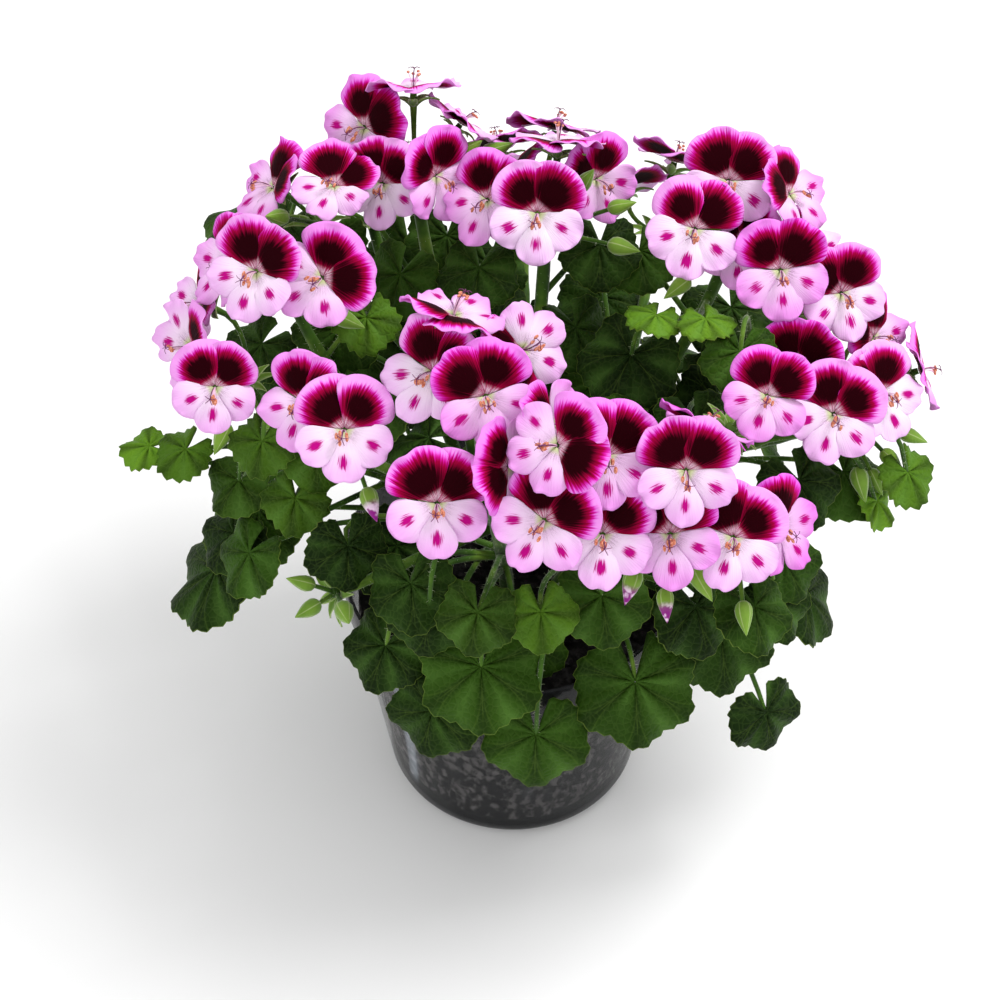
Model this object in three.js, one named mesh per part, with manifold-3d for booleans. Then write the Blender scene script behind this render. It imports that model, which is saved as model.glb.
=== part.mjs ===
// Potted angel pelargonium in a smoky plastic nursery pot, in millimetres with +Z up.
// The origin is the centre of the pot's underside, and -Y is the side that the viewer sees.
// Azimuths are degrees round the pot: 0 points at the viewer, 90 to the viewer's right.
// Elevations are degrees above the horizontal.
import * as THREE from 'three';
import { mergeVertices } from 'three/addons/utils/BufferGeometryUtils.js';
import Module from 'manifold-3d';

const wasm = await Module();
wasm.setup();

const { degToRad, radToDeg } = THREE.MathUtils;

// Sizes of the pot: a 13 cm nursery pot
const POT_HEIGHT = 117;
const POT_SIDES = 20;
const FOOT_RADIUS = 50.5;
const FOOT_ROUNDING = 8;
const FOOT_FACET = 0.3;
const WALL_TAPER = 0.13;
const WALL = 1.6;
const COLLAR_RADIUS = 66;
const COLLAR_HEIGHT = 16;
const COLLAR_LEAN = 0.4;
const COLLAR_STEP = 1;
const DRAIN_RADIUS = 4;
const DRAIN_RING = 30;
const DRAIN_COUNT = 4;
const DRAIN_SIDES = 6;

// Gap between solids that touch
const CLEARANCE = 0.3;

// Corners nearer than this are one corner
const SAME_CORNER = 1e-4;

// Sizes of the soil, and of the stems' holes in it
const SOIL_EDGE = 103;
const SOIL_TOP = 108;
const SOIL_ROUNDING = { drop: 5, inset: 3 };
const MOUND_RADIUS = 36;
const MOUND_DROP = 1;
const HOLE_RADIUS = 3.15;

// Stems: round bars that leave the soil upright and spread out. Their control points are
// shares of the way out and of the way up to the head.
const STEM_RADIUS = 2.7;
const STEM_SIDES = 5;
const STEM_STEPS = 3;
const ROOT_SPREAD = 0.3;
const STEM_BEND = [{ out: 0.38, up: 0.35 }, { out: 0.86, up: 0.55 }];
const BRANCH_AT = 0.28;
const BRANCH_RADIUS = 2.2;
const BRANCH_STEPS = 3;
const BRANCH_BEND = { along: 0.4, start: 0.135, end: 0.45 };
const STALK_INSET = 2;
const STALK_SPREAD = 0.7;
const STALK_RADIUS = 1;
const TWIG_SIDES = 3;

// Sizes of a bloom: two broad upper petals and three narrower lower ones, each with its angle
// from the bloom's top, the angle of the notch after it, and its outline as shares of its
// length and half-width
const PETAL_THICKNESS = 0.84;
const THROAT_DEPTH = 3.6;
const CLAW_DEPTH = 6.4;
const NOTCH_RADIUS = 2.3;
const UPPER_PETAL = { length: 19.5, halfWidth: 9.2, edge: [[0.6, 0.9], [0.94, 0.62]] };
const SIDE_PETAL = { length: 18, halfWidth: 6.9, edge: [[0.62, 0.82], [0.95, 0.55]] };
const BOTTOM_PETAL = { length: 18.5, halfWidth: 7.1, edge: [[0.62, 0.82], [0.95, 0.55]] };
const PETALS = [
  { angle: 40, notch: 0, ...UPPER_PETAL },
  { angle: -40, notch: -81, ...UPPER_PETAL },
  { angle: -122, notch: -151, ...SIDE_PETAL },
  { angle: -180, notch: -209, ...BOTTOM_PETAL },
  { angle: -238, notch: -279, ...SIDE_PETAL },
];

// How a bloom's petals rise from the throat, bend back, curl down at the sides and vary
const PETAL_LIFT = { least: 6.6, spread: 1.6 };
const PETAL_REFLEX = { least: 3.6, spread: 1.8 };
const PETAL_CURL = 1.1;
const PETAL_WAVE = 1.2;
const PETAL_TURN = 3;

// Sizes of the calyx behind a bloom and of a closed bud
const SEPALS = 5;
const SEPAL_REACH = 6.2;
const SEPAL_TIP_DEPTH = 5.8;
const CALYX_FRONT = 7.1;
const CALYX_BACK = 10;
const BUD_LENGTH = 13;
const BUD_RADIUS = 3;
const BUD_WIDEST = 0.4;
const BUD_STALK_RADIUS = 0.9;
const BUD_SIDES = 4;

// Sizes of a leaf: a round fan with a gap at the petiole and a toothed rim, whose points are
// in and out by turns. Lengths are shares of the leaf's width, but for its pleats.
const LEAF_THICKNESS = 0.84;
const LEAF_RIMS = [{ width: 41, points: 13 }, { width: 27, points: 11 }, { width: 0, points: 9 }];
const LEAF_SPAN = 324;
const LEAF_TIP = 0.55;
const LEAF_BACK = 0.16;
const LEAF_TOOTH = 0.032;
const LEAF_LOBE = 0.03;
const LEAF_DROOP = 0.1;
const LEAF_PLEAT = 0.9;
const PETIOLE_RADIUS = 1.2;

// One entry for each stem in the soil, with its flower heads: the first head ends the stem and
// the others branch off it. A head has the point where its flower stalks meet, its open blooms
// and its buds. A bloom is the throat's x, y, z, then the azimuth and elevation that it faces,
// its roll and its size. A bud is its stalk's azimuth, elevation and length.
const STEMS = [
  { name: 'centre', heads: [
    { name: 'centre', umbel: [-14, -10, 222],
      blooms: [[-10, -38, 244, 0, 45, -15, 1], [-28, -30, 246, -35, 45, 0, 1],
        [4, -12, 240, 40, 40, -100, 0.95], [-20, -5, 254, 150, 60, 0, 1]],
      buds: [] },
    { name: 'left_near', umbel: [-60, -12, 204],
      blooms: [[-58, -36, 226, 0, 50, 0, 1], [-74, -19, 221, -30, 40, 0, 0.95]],
      buds: [[30, 45, 22], [20, -20, 24]] },
    { name: 'low_left', umbel: [-66, -42, 146], blooms: [],
      buds: [[-40, 15, 9], [15, 25, 11], [-80, 35, 9]] },
  ] },
  { name: 'front', heads: [
    { name: 'front_left', umbel: [-8, -42, 208],
      blooms: [[-26, -68, 224, 0, 45, 0, 1], [9, -74, 222, -10, 40, 25, 1],
        [-2, -57, 226, 60, 30, -50, 0.95], [-3, -44, 238, 60, 30, -50, 0.9]],
      buds: [[-45, -35, 18]] },
    { name: 'front_mid', umbel: [21, -42, 206],
      blooms: [[10, -58, 238, -30, 45, 55, 0.95], [31, -60, 233, 10, 45, 10, 1],
        [29, -76, 216, 0, 40, 5, 1]],
      buds: [] },
  ] },
  { name: 'front_right', heads: [
    { name: 'front_right', umbel: [49, -44, 200],
      blooms: [[50, -74, 214, -15, 40, -15, 1], [56, -58, 230, 5, 35, 5, 1]],
      buds: [[5, -30, 30], [40, -40, 26], [-25, -50, 24]] },
    { name: 'front_far_right', umbel: [77, -42, 184],
      blooms: [[73, -69, 208, 0, 45, 15, 1], [91, -61, 200, 40, 35, -15, 0.95]],
      buds: [[5, -25, 26]] },
  ] },
  { name: 'right_near', heads: [
    { name: 'right_near', umbel: [76, -14, 204],
      blooms: [[65, -38, 232, 150, 40, 0, 0.95], [87, -18, 224, 0, 50, 20, 0.9]],
      buds: [] },
  ] },
  { name: 'left', heads: [
    { name: 'left', umbel: [-82, 44, 214],
      blooms: [[-68, 24, 240, 0, 45, 55, 1], [-89, 27, 240, -30, 40, 0, 1],
        [-102, 37, 232, -60, 40, 0, 0.95]],
      buds: [[60, 0, 18]] },
    { name: 'left_low', umbel: [-98, 22, 192],
      blooms: [[-106, -4, 213, -5, 35, 0, 0.9], [-120, 22, 208, -60, 20, 60, 1],
        [-123, 40, 212, -75, 35, 0, 1]],
      buds: [[20, -5, 20], [-20, -15, 18]] },
  ] },
  { name: 'back_left', heads: [
    { name: 'back_left', umbel: [-37, 92, 226],
      blooms: [[-57, 92, 252, -40, 35, 10, 1], [-37, 100, 257, 180, 55, 0, 1],
        [-26, 72, 245, 50, 20, 0, 0.95], [-18, 100, 250, 130, 40, 0, 0.8],
        [-44, 76, 243, -10, 35, 0, 0.9]],
      buds: [[60, 40, 24], [90, 30, 28]] },
    { name: 'back_left_low', umbel: [-74, 82, 216],
      blooms: [[-92, 84, 232, -80, 45, 0, 0.95], [-64, 74, 242, -20, 75, 0, 0.9]],
      buds: [[-40, 40, 20], [0, 30, 22]] },
  ] },
  { name: 'back', heads: [
    { name: 'back', umbel: [12, 72, 222],
      blooms: [[8, 51, 246, -5, 40, 0, 1], [-9, 59, 244, -35, 40, 0, 0.95],
        [32, 76, 240, 40, 25, 0, 0.9], [20, 82, 250, 170, 55, 0, 1],
        [2, 84, 248, -120, 50, 0, 0.85]],
      buds: [[80, 30, 26], [60, 10, 26], [100, 45, 24]] },
    { name: 'rear', umbel: [4, 112, 194],
      blooms: [[-6, 132, 214, -170, 42, 0, 1], [16, 130, 218, 165, 48, 10, 1]],
      buds: [] },
  ] },
  { name: 'right', heads: [
    { name: 'right', umbel: [104, 46, 204],
      blooms: [[95, 34, 234, 0, 40, -5, 1], [119, 35, 222, 20, 40, 0, 0.95],
        [114, 54, 227, 70, 45, 0, 0.95]],
      buds: [[-40, 0, 20]] },
    { name: 'right_low', umbel: [121, 20, 180],
      blooms: [[114, -6, 202, 10, 45, 25, 1], [134, 10, 196, 40, 40, 0, 1],
        [138, 33, 204, 60, 40, 0, 0.95], [149, 33, 184, 95, 20, 0, 0.9],
        [103, 6, 212, -20, 40, 0, 0.9]],
      buds: [[60, -35, 22], [45, -50, 26], [80, -20, 24], [20, -40, 22]] },
  ] },
  { name: 'right_back', heads: [
    { name: 'right_back', umbel: [80, 62, 222],
      blooms: [[64, 44, 245, -5, 45, 10, 1], [77, 62, 252, 0, 45, 10, 1],
        [94, 66, 244, 65, 45, 0, 0.9], [86, 52, 240, -20, 40, -10, 0.9]],
      buds: [[150, 60, 26], [-50, -10, 20]] },
    { name: 'rear_right', umbel: [56, 106, 190],
      blooms: [[64, 128, 210, 160, 42, 0, 1], [44, 130, 202, -175, 36, 0, 0.95]],
      buds: [[120, 15, 22]] },
  ] },
  { name: 'rear_left', heads: [
    { name: 'rear_left', umbel: [-56, 114, 188],
      blooms: [[-66, 134, 206, -155, 40, 0, 1], [-42, 136, 204, 175, 38, -10, 0.95]],
      buds: [[-110, 20, 22]] },
  ] },
];

// Leaves that the viewer sees: the petiole's end x, y, z, the azimuth and elevation in which
// the leaf's tip points, and the leaf's width
const SEEN_LEAVES = [
  [8, -76, 106, -3, -58, 38],
  [-10, -62, 135, -5, -45, 44],
  [-30, -70, 112, -25, -60, 34],
  [44, -64, 122, 5, -45, 44],
  [-47, -52, 128, -30, -45, 32],
  [76, -50, 128, 20, -42, 42],
  [76, -62, 102, 10, -55, 24],
  [94, -60, 98, 30, -65, 30],
  [-113, -9, 120, -80, -35, 44],
  [-135, 10, 168, -90, -5, 20],
  [-120, 4, 172, -50, -15, 22],
  [-79, -19, 172, -10, -40, 24],
  [43, 30, 196, -30, -25, 38],
  [76, 19, 208, 0, -35, 28],
  [51, 30, 216, -30, 10, 20],
  [64, 28, 218, 30, 10, 20],
  [32, 69, 215, 0, -30, 30],
  [94, -46, 146, 35, -42, 28],
  [9, -66, 165, 5, -45, 26],
  [-13, -67, 166, -15, -45, 28],
  [125, 6, 158, 30, -25, 34],
  [137, 9, 158, 65, -30, 24],
  [136, 2, 150, 50, -50, 20],
  [-54, 37, 208, 0, -30, 24],
  [-13, 67, 205, -10, -25, 30],
  [42, 10, 180, 0, -35, 34],
  [-107, 95, 205, -120, -20, 26],
  [-104, -12, 144, -55, -40, 30],
  [-101, -5, 166, -45, -30, 26],
  [-66, -12, 190, -10, -35, 26],
  [-88, -5, 188, -30, -30, 24],
  [-92, -20, 150, -40, -40, 30],
  [-66, -34, 160, -20, -45, 30],
  [-46, -42, 165, -20, -40, 32],
  [-30, -57, 155, -15, -50, 30],
  [27, -58, 150, 5, -50, 34],
  [63, -49, 150, 15, -45, 34],
  [80, -53, 155, 15, -45, 30],
  [97, -38, 160, 35, -38, 28],
  [-74, 46, 190, -20, -30, 32],
  [-43, 77, 200, -10, -30, 32],
  [17, 54, 185, 0, -40, 32],
  [67, 2, 185, 10, -35, 32],
  [104, -7, 168, 30, -35, 32],
  [47, 71, 210, 10, -25, 30],
  [-30, 60, 162, -10, -40, 40],
  [2, 76, 158, 0, -35, 42],
  [34, 62, 150, 5, -40, 42],
  [64, 48, 158, 10, -40, 40],
  [88, 34, 172, 20, -35, 36],
  [-62, 66, 166, -20, -30, 40],
  [-92, 14, 172, -40, -30, 34],
  [84, 74, 178, 20, -20, 40],
  [12, -28, 138, 0, -40, 34],
  [22, 96, 138, 5, -30, 44],
  [-54, 80, 142, -20, -30, 42],
  [-84, 48, 148, -40, -30, 40],
  [-38, 48, 172, -10, -25, 34],
  [-38, 30, 148, 0, -30, 34],
  [36, 90, 170, 10, -25, 36],
  [-26, 104, 188, 0, -35, 34],
  [-44, 108, 180, -10, -40, 34],
  [-66, 112, 186, -20, -40, 32],
  [-88, 108, 192, -40, -30, 30],
  [-10, 90, 186, 0, -35, 30],
  [-96, 56, 176, -50, -30, 30],
];

// The rest of the leaves: each group is part of a dome, filled by the golden ratio
const GOLDEN_RATIO = 0.618034;
const INNER_DOME = {
  centre: [0, 2, 112], radii: [56, 50, 74], count: 8, from: 0, to: 360,
  lowest: 8, highest: 74, width: 36, property: 40,
};
const REAR_DOME = {
  centre: [4, 10, 100], radii: [112, 100, 100], count: 18, from: 75, to: 285,
  lowest: 6, highest: 66, width: 40, property: 41,
};
const DOME_TILT = { share: 0.55, hang: -50 };
const DOME_WIDTHS = { least: 0.85, spread: 0.3 };

// How far a bloom may move to stand clear, and the bends that its stalk may take
const BLOOM_STEPS = {
  ahead: [-12.5, -10, -7.5, -5, -2.5, 0, 2.5, 5, 7.5, 10, 12.5],
  aside: [-8, -4, 0, 4, 8],
  rise: [-8, -4, 0, 4, 8],
};
const SIDEWAYS_COST = 1.5;
const STALK_BENDS = [0.45, 0.6, 0.3, 0.75, 0.15, 0.9];

// Petals that share no more than this volume may touch, and are then one body
const TOUCH = 1;
const NO_TOUCH = 1e-4;

// How far a bud or a leaf may swing to stand clear, and in how many tries
const BUD_TRIES = 12;
const BUD_SWING = { azimuth: 6, elevation: 4 };
const LEAF_TRIES = 60;
const LEAF_SWING = { azimuth: 3, elevation: 2, twist: 2 };
const LARGEST_SWING = 10;
const TRIES_APART = 64;

// Where a petiole leaves the stems, and the ways in which it may arch, as shares of its reach
const PETIOLE_STARTS = 6;
const PETIOLE_DROPS = [20, 36];
const PETIOLE_ABOVE_SOIL = { least: 8, spread: 26 };
const PETIOLE_BELOW_HEAD = { least: 12, spread: 14 };
const PETIOLE_RISE = 2;
const PETIOLE_ARCHES = [
  { below: 0.3, behind: 0.3, lift: 0 },
  { below: 0, behind: 0.3, lift: 0.5 },
  { below: 0, behind: 0.1, lift: 0.9 },
];
const STEM_POINTS = 60;

// The seed of every draw, and the number of each property that is drawn. The notches, petals
// and rim points of one bloom or leaf count on from its property's number.
const SEED = { item: 12.9898, property: 78.233, stretch: 43758.5453 };
const PROPERTY = {
  petalLift: 1,
  petalReflex: 2,
  petalTurn: 10,
  petalWave: 20,
  leafLobe: 30,
  leafPlace: [50, 51, 52],
  leafAzimuth: 53,
  leafElevation: 54,
  leafTwist: 55,
  petioleAboveSoil: 58,
  petioleBelowHead: 59,
  budAzimuth: 60,
  budElevation: 61,
};

// A seeded draw between 0 and 1 for one item and one of its properties
function draw(item, property) {
  const value = Math.sin(item * SEED.item + property * SEED.property) * SEED.stretch;
  return value - Math.floor(value);
}

// A number that swings further from 0 at each try
function swing(item, attempt, property) {
  const most = 2 * Math.min(attempt, LARGEST_SWING);
  return most * (draw(item * TRIES_APART + attempt, property) - 0.5);
}

// Unit vectors of something that points along an azimuth and elevation
function aimed(azimuth, elevation) {
  const a = degToRad(azimuth);
  const e = degToRad(elevation);
  return {
    ahead: new THREE.Vector3(Math.sin(a) * Math.cos(e), -Math.cos(a) * Math.cos(e), Math.sin(e)),
    above: new THREE.Vector3(-Math.sin(a) * Math.sin(e), Math.cos(a) * Math.sin(e), Math.cos(e)),
  };
}

// A closed geometry as a solid, with only its positions and shared corners
function solidOf(geometry) {
  const bare = geometry.clone();
  bare.deleteAttribute('normal');
  bare.deleteAttribute('uv');
  const merged = mergeVertices(bare, SAME_CORNER);
  return new wasm.Manifold(new wasm.Mesh({
    numProp: 3,
    vertProperties: new Float32Array(merged.attributes.position.array),
    triVerts: new Uint32Array(merged.index.array),
  }));
}

// A closed surface as a solid, from its points and the corners of its triangles
function solidFrom(points, corners) {
  const geometry = new THREE.BufferGeometry().setFromPoints(points);
  geometry.setIndex(corners);
  return solidOf(geometry);
}

// A solid as a geometry for a THREE.Mesh
function geometryOf(solid) {
  const { vertProperties, triVerts } = solid.getMesh();
  const geometry = new THREE.BufferGeometry();
  geometry.setAttribute('position', new THREE.BufferAttribute(vertProperties, 3));
  geometry.setIndex(new THREE.BufferAttribute(triVerts, 1));
  geometry.computeVertexNormals();
  return geometry;
}

// A solid that a profile of radii and heights makes as it turns about the Z axis
function latheSolid(profile, sides) {
  const points = profile.map(([radius, height]) => new THREE.Vector2(radius, height));
  return solidOf(new THREE.LatheGeometry(points, sides).rotateX(Math.PI / 2));
}

// A round bar with few sides along a curve
function barSolid(curve, radius, sides, steps) {
  const section = new THREE.Shape();
  for (let i = 0; i < sides; i += 1) {
    const turn = (i / sides) * 2 * Math.PI;
    const corner = [radius * Math.cos(turn), radius * Math.sin(turn)];
    if (i === 0) section.moveTo(...corner);
    else section.lineTo(...corner);
  }
  section.closePath();
  const path = { steps, bevelEnabled: false, extrudePath: curve };
  return solidOf(new THREE.ExtrudeGeometry(section, path));
}

// Pot: a lathed wall with a rounded foot and a stepped collar, and drain holes in its base
function potSolid() {
  const wallAt = (height) => FOOT_RADIUS + WALL_TAPER * height;
  const step = POT_HEIGHT - COLLAR_HEIGHT;
  const foot = wallAt(FOOT_ROUNDING);
  const inside = COLLAR_RADIUS - WALL;
  let pot = latheSolid([
    [0, 0],
    [foot - FOOT_ROUNDING, 0],
    [foot - FOOT_FACET * FOOT_ROUNDING, FOOT_FACET * FOOT_ROUNDING],
    [foot, FOOT_ROUNDING],
    [wallAt(step), step],
    [COLLAR_RADIUS - COLLAR_LEAN, step + COLLAR_STEP],
    [COLLAR_RADIUS, POT_HEIGHT],
    [inside, POT_HEIGHT],
    [inside - COLLAR_LEAN, step + WALL],
    [wallAt(step) - WALL, step - COLLAR_STEP],
    [foot - WALL, FOOT_ROUNDING],
    [foot - FOOT_ROUNDING, WALL],
    [0, WALL],
  ], POT_SIDES);
  for (let i = 0; i < DRAIN_COUNT; i += 1) {
    const turn = ((i + 0.5) / DRAIN_COUNT) * 2 * Math.PI;
    const drain = new THREE.CylinderGeometry(DRAIN_RADIUS, DRAIN_RADIUS, 4 * WALL, DRAIN_SIDES)
      .rotateX(Math.PI / 2)
      .translate(DRAIN_RING * Math.cos(turn), DRAIN_RING * Math.sin(turn), WALL / 2);
    pot = pot.subtract(solidOf(drain));
  }
  return pot;
}

// Stem above the soil: curves out to where its first head's flower stalks meet. All stems
// follow one profile scaled by their heads' places, so none meets another.
function stemCurve([x, y, z]) {
  const at = (out, up) => new THREE.Vector3(x * out, y * out, SOIL_TOP + up * (z - SOIL_TOP));
  const bends = STEM_BEND.map(({ out, up }) => at(out, up));
  return new THREE.CubicBezierCurve3(at(ROOT_SPREAD, 0), ...bends, at(1, 1));
}

// Foot of a stem: upright in its hole, and as long as one of the steps above it
function stemFoot(curve) {
  return curve.v0.clone().setZ(SOIL_TOP - curve.getLength() / STEM_STEPS);
}

// Stem: its foot and the curve above it, as one bar
function stemSolid(curve) {
  const path = new THREE.CurvePath();
  path.add(new THREE.LineCurve3(stemFoot(curve), curve.v0));
  path.add(curve);
  return barSolid(path, STEM_RADIUS, STEM_SIDES, STEM_STEPS + 1);
}

// Soil: a lathed plug inside the pot with a low mound, and a plain hole for each stem
function soilSolid() {
  const insideAt = (height) => FOOT_RADIUS + WALL_TAPER * height - WALL - CLEARANCE;
  const shoulder = SOIL_EDGE - SOIL_ROUNDING.drop;
  const bottom = WALL + CLEARANCE;
  let soil = latheSolid([
    [0, bottom],
    [insideAt(FOOT_ROUNDING) - FOOT_ROUNDING + WALL, bottom],
    [insideAt(FOOT_ROUNDING), FOOT_ROUNDING + CLEARANCE],
    [insideAt(shoulder), shoulder],
    [insideAt(SOIL_EDGE) - SOIL_ROUNDING.inset, SOIL_EDGE],
    [MOUND_RADIUS, SOIL_TOP - MOUND_DROP],
    [0, SOIL_TOP],
  ], POT_SIDES);
  for (const { heads } of STEMS) {
    const curve = stemCurve(heads[0].umbel);
    const bottomOfHole = stemFoot(curve).setZ(stemFoot(curve).z - CLEARANCE);
    const hole = new THREE.LineCurve3(bottomOfHole, curve.v0.clone().setZ(POT_HEIGHT));
    soil = soil.subtract(barSolid(hole, HOLE_RADIUS, STEM_SIDES, 1));
  }
  return soil;
}

// Branch: leaves a stem below its middle and rises to another head
function branchCurve(main, umbel) {
  const start = main.getPointAt(BRANCH_AT);
  const end = new THREE.Vector3(...umbel);
  const rise = end.z - start.z;
  const first = start.clone().lerp(end, BRANCH_BEND.along);
  first.z += BRANCH_BEND.start * rise;
  const second = end.clone();
  second.z -= BRANCH_BEND.end * rise;
  return new THREE.CubicBezierCurve3(start, first, second, end);
}

// Where a bloom stands: its local +Z is the way it faces and its local +Y is its top
function bloomMatrix([x, y, z, azimuth, elevation, roll, size]) {
  const { ahead, above } = aimed(azimuth, elevation);
  return new THREE.Matrix4()
    .makeTranslation(x, y, z)
    .multiply(new THREE.Matrix4().makeBasis(above.clone().cross(ahead), above, ahead))
    .multiply(new THREE.Matrix4().makeRotationZ(-degToRad(roll)))
    .multiply(new THREE.Matrix4().makeScale(size, size, size));
}

// Bloom: five petals that share one throat, as one closed blade with the same triangles on
// both faces and a wall along the rim between them
function bloomSolid(bloom, item) {
  const lift = PETAL_LIFT.least + PETAL_LIFT.spread * draw(item, PROPERTY.petalLift);
  const reflex = PETAL_REFLEX.least + PETAL_REFLEX.spread * draw(item, PROPERTY.petalReflex);
  const heightAt = (along) => -THROAT_DEPTH + lift * along - reflex * along * along;
  const points = [new THREE.Vector3(0, 0, -THROAT_DEPTH)];
  const notches = PETALS.map(({ notch }) => {
    const turn = degToRad(notch);
    const height = heightAt(NOTCH_RADIUS / UPPER_PETAL.length);
    return points.push(new THREE.Vector3(
      NOTCH_RADIUS * Math.sin(turn),
      NOTCH_RADIUS * Math.cos(turn),
      height,
    )) - 1;
  });
  const triangles = [];
  const rim = [];
  PETALS.forEach(({ angle, length, halfWidth, edge }, number) => {
    const off = PETAL_TURN * (draw(item, PROPERTY.petalTurn + number) - 0.5);
    const turn = degToRad(angle + off);
    const push = ([along, across]) => {
      const out = along * length;
      const aside = across * halfWidth;
      const drawn = draw(item, PROPERTY.petalWave + points.length) - 0.5;
      const wave = PETAL_WAVE * drawn * Math.abs(across);
      return points.push(new THREE.Vector3(
        out * Math.sin(turn) - aside * Math.cos(turn),
        out * Math.cos(turn) + aside * Math.sin(turn),
        heightAt(along) - PETAL_CURL * across * across + wave,
      )) - 1;
    };
    const outline = [
      ...edge.map(([along, across]) => push([along, -across])),
      ...edge.toReversed().map(push),
      notches[number],
    ];
    const before = notches[(number + PETALS.length - 1) % PETALS.length];
    const loop = [before, ...outline];
    outline.forEach((corner, i) => triangles.push([0, loop[i], corner]));
    rim.push(...outline);
  });
  const half = new THREE.Vector3(0, 0, PETAL_THICKNESS / 2);
  const front = points.map((point) => point.clone().add(half));
  const back = points.map((point) => point.clone().sub(half));
  back[0].z = -CLAW_DEPTH;
  const count = points.length;
  const corners = triangles.flatMap(([a, b, c]) => [a, b, c, count + a, count + c, count + b]);
  rim.forEach((a, i) => {
    const b = rim[(i + 1) % rim.length];
    corners.push(b, a, count + a, b, count + a, count + b);
  });
  const matrix = bloomMatrix(bloom);
  return solidFrom([...front, ...back].map((point) => point.applyMatrix4(matrix)), corners);
}

// Rings of a thin bar that follows a curve, from its start to its end
function twigRings(curve, radius, steps) {
  const { normals, binormals } = curve.computeFrenetFrames(steps, false);
  return Array.from({ length: steps + 1 }, (unused, ring) => (
    Array.from({ length: TWIG_SIDES }, (alsoUnused, side) => {
      const turn = (side / TWIG_SIDES) * 2 * Math.PI;
      return curve.getPointAt(ring / steps)
        .addScaledVector(normals[ring], radius * Math.cos(turn))
        .addScaledVector(binormals[ring], radius * Math.sin(turn));
    })));
}

// Corners of the triangles between each ring of points and the next one. Rings run
// anticlockwise as seen from the end, and a ring of one point closes that end.
function ringCorners(rings) {
  const corners = [];
  let first = 0;
  rings.slice(1).forEach((next, number) => {
    const ring = rings[number];
    const second = first + ring.length;
    const here = ring.length > 1 ? ring.length : 0;
    const there = next.length > 1 ? next.length : 0;
    let i = 0;
    let j = 0;
    while (i < here || j < there) {
      const a = first + (i % ring.length);
      const b = second + (j % next.length);
      if (j >= there || (i < here && (i + 0.5) / here <= (j + 0.5) / there)) {
        corners.push(a, first + ((i + 1) % ring.length), b);
        i += 1;
      } else {
        corners.push(a, second + ((j + 1) % next.length), b);
        j += 1;
      }
    }
    first = second;
  });
  return corners;
}

// Flower stalk and calyx: a bar from the head's base, bent by a share of its length, that
// opens into a star of five pointed sepals behind the petals
function calyxSolid(base, bloom, bend) {
  const [x, y, z, azimuth, elevation, , size] = bloom;
  const { ahead } = aimed(azimuth, elevation);
  const end = new THREE.Vector3(x, y, z).addScaledVector(ahead, -CALYX_BACK * size);
  const control = end.clone().addScaledVector(ahead, -bend * end.distanceTo(base));
  const start = control.clone().sub(base).setLength(STALK_SPREAD).add(base);
  const curve = new THREE.QuadraticBezierCurve3(start, control, end);
  const stalk = twigRings(curve, STALK_RADIUS, 2);
  const matrix = bloomMatrix(bloom);
  const corner = stalk[2][0].clone().applyMatrix4(matrix.clone().invert());
  const spacing = (2 * Math.PI) / SEPALS;
  const nearest = Math.round((Math.atan2(corner.y, corner.x) - Math.PI / 2) / spacing);
  const star = Array.from({ length: SEPALS }, (unused, i) => {
    const turn = Math.PI / 2 + (nearest + i) * spacing;
    return new THREE.Vector3(
      SEPAL_REACH * Math.cos(turn),
      SEPAL_REACH * Math.sin(turn),
      -SEPAL_TIP_DEPTH,
    ).applyMatrix4(matrix);
  });
  const front = new THREE.Vector3(0, 0, -CALYX_FRONT).applyMatrix4(matrix);
  const rings = [[start], ...stalk, star, [front]];
  return solidFrom(rings.flat(), ringCorners(rings));
}

// Bud on its stalk: a pointed oval with four sides
function budSolid(base, [azimuth, elevation, stalk]) {
  const { ahead } = aimed(azimuth, elevation);
  const profile = [
    [0, 0],
    [BUD_STALK_RADIUS, 0],
    [BUD_STALK_RADIUS, stalk],
    [BUD_RADIUS, stalk + BUD_WIDEST * BUD_LENGTH],
    [0, stalk + BUD_LENGTH],
  ].map(([radius, along]) => new THREE.Vector2(radius, along));
  const turned = new THREE.Quaternion().setFromUnitVectors(new THREE.Vector3(0, 1, 0), ahead);
  return solidOf(new THREE.LatheGeometry(profile, BUD_SIDES)
    .applyQuaternion(turned)
    .translate(...ahead.multiplyScalar(STALK_SPREAD).add(base)));
}

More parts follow.
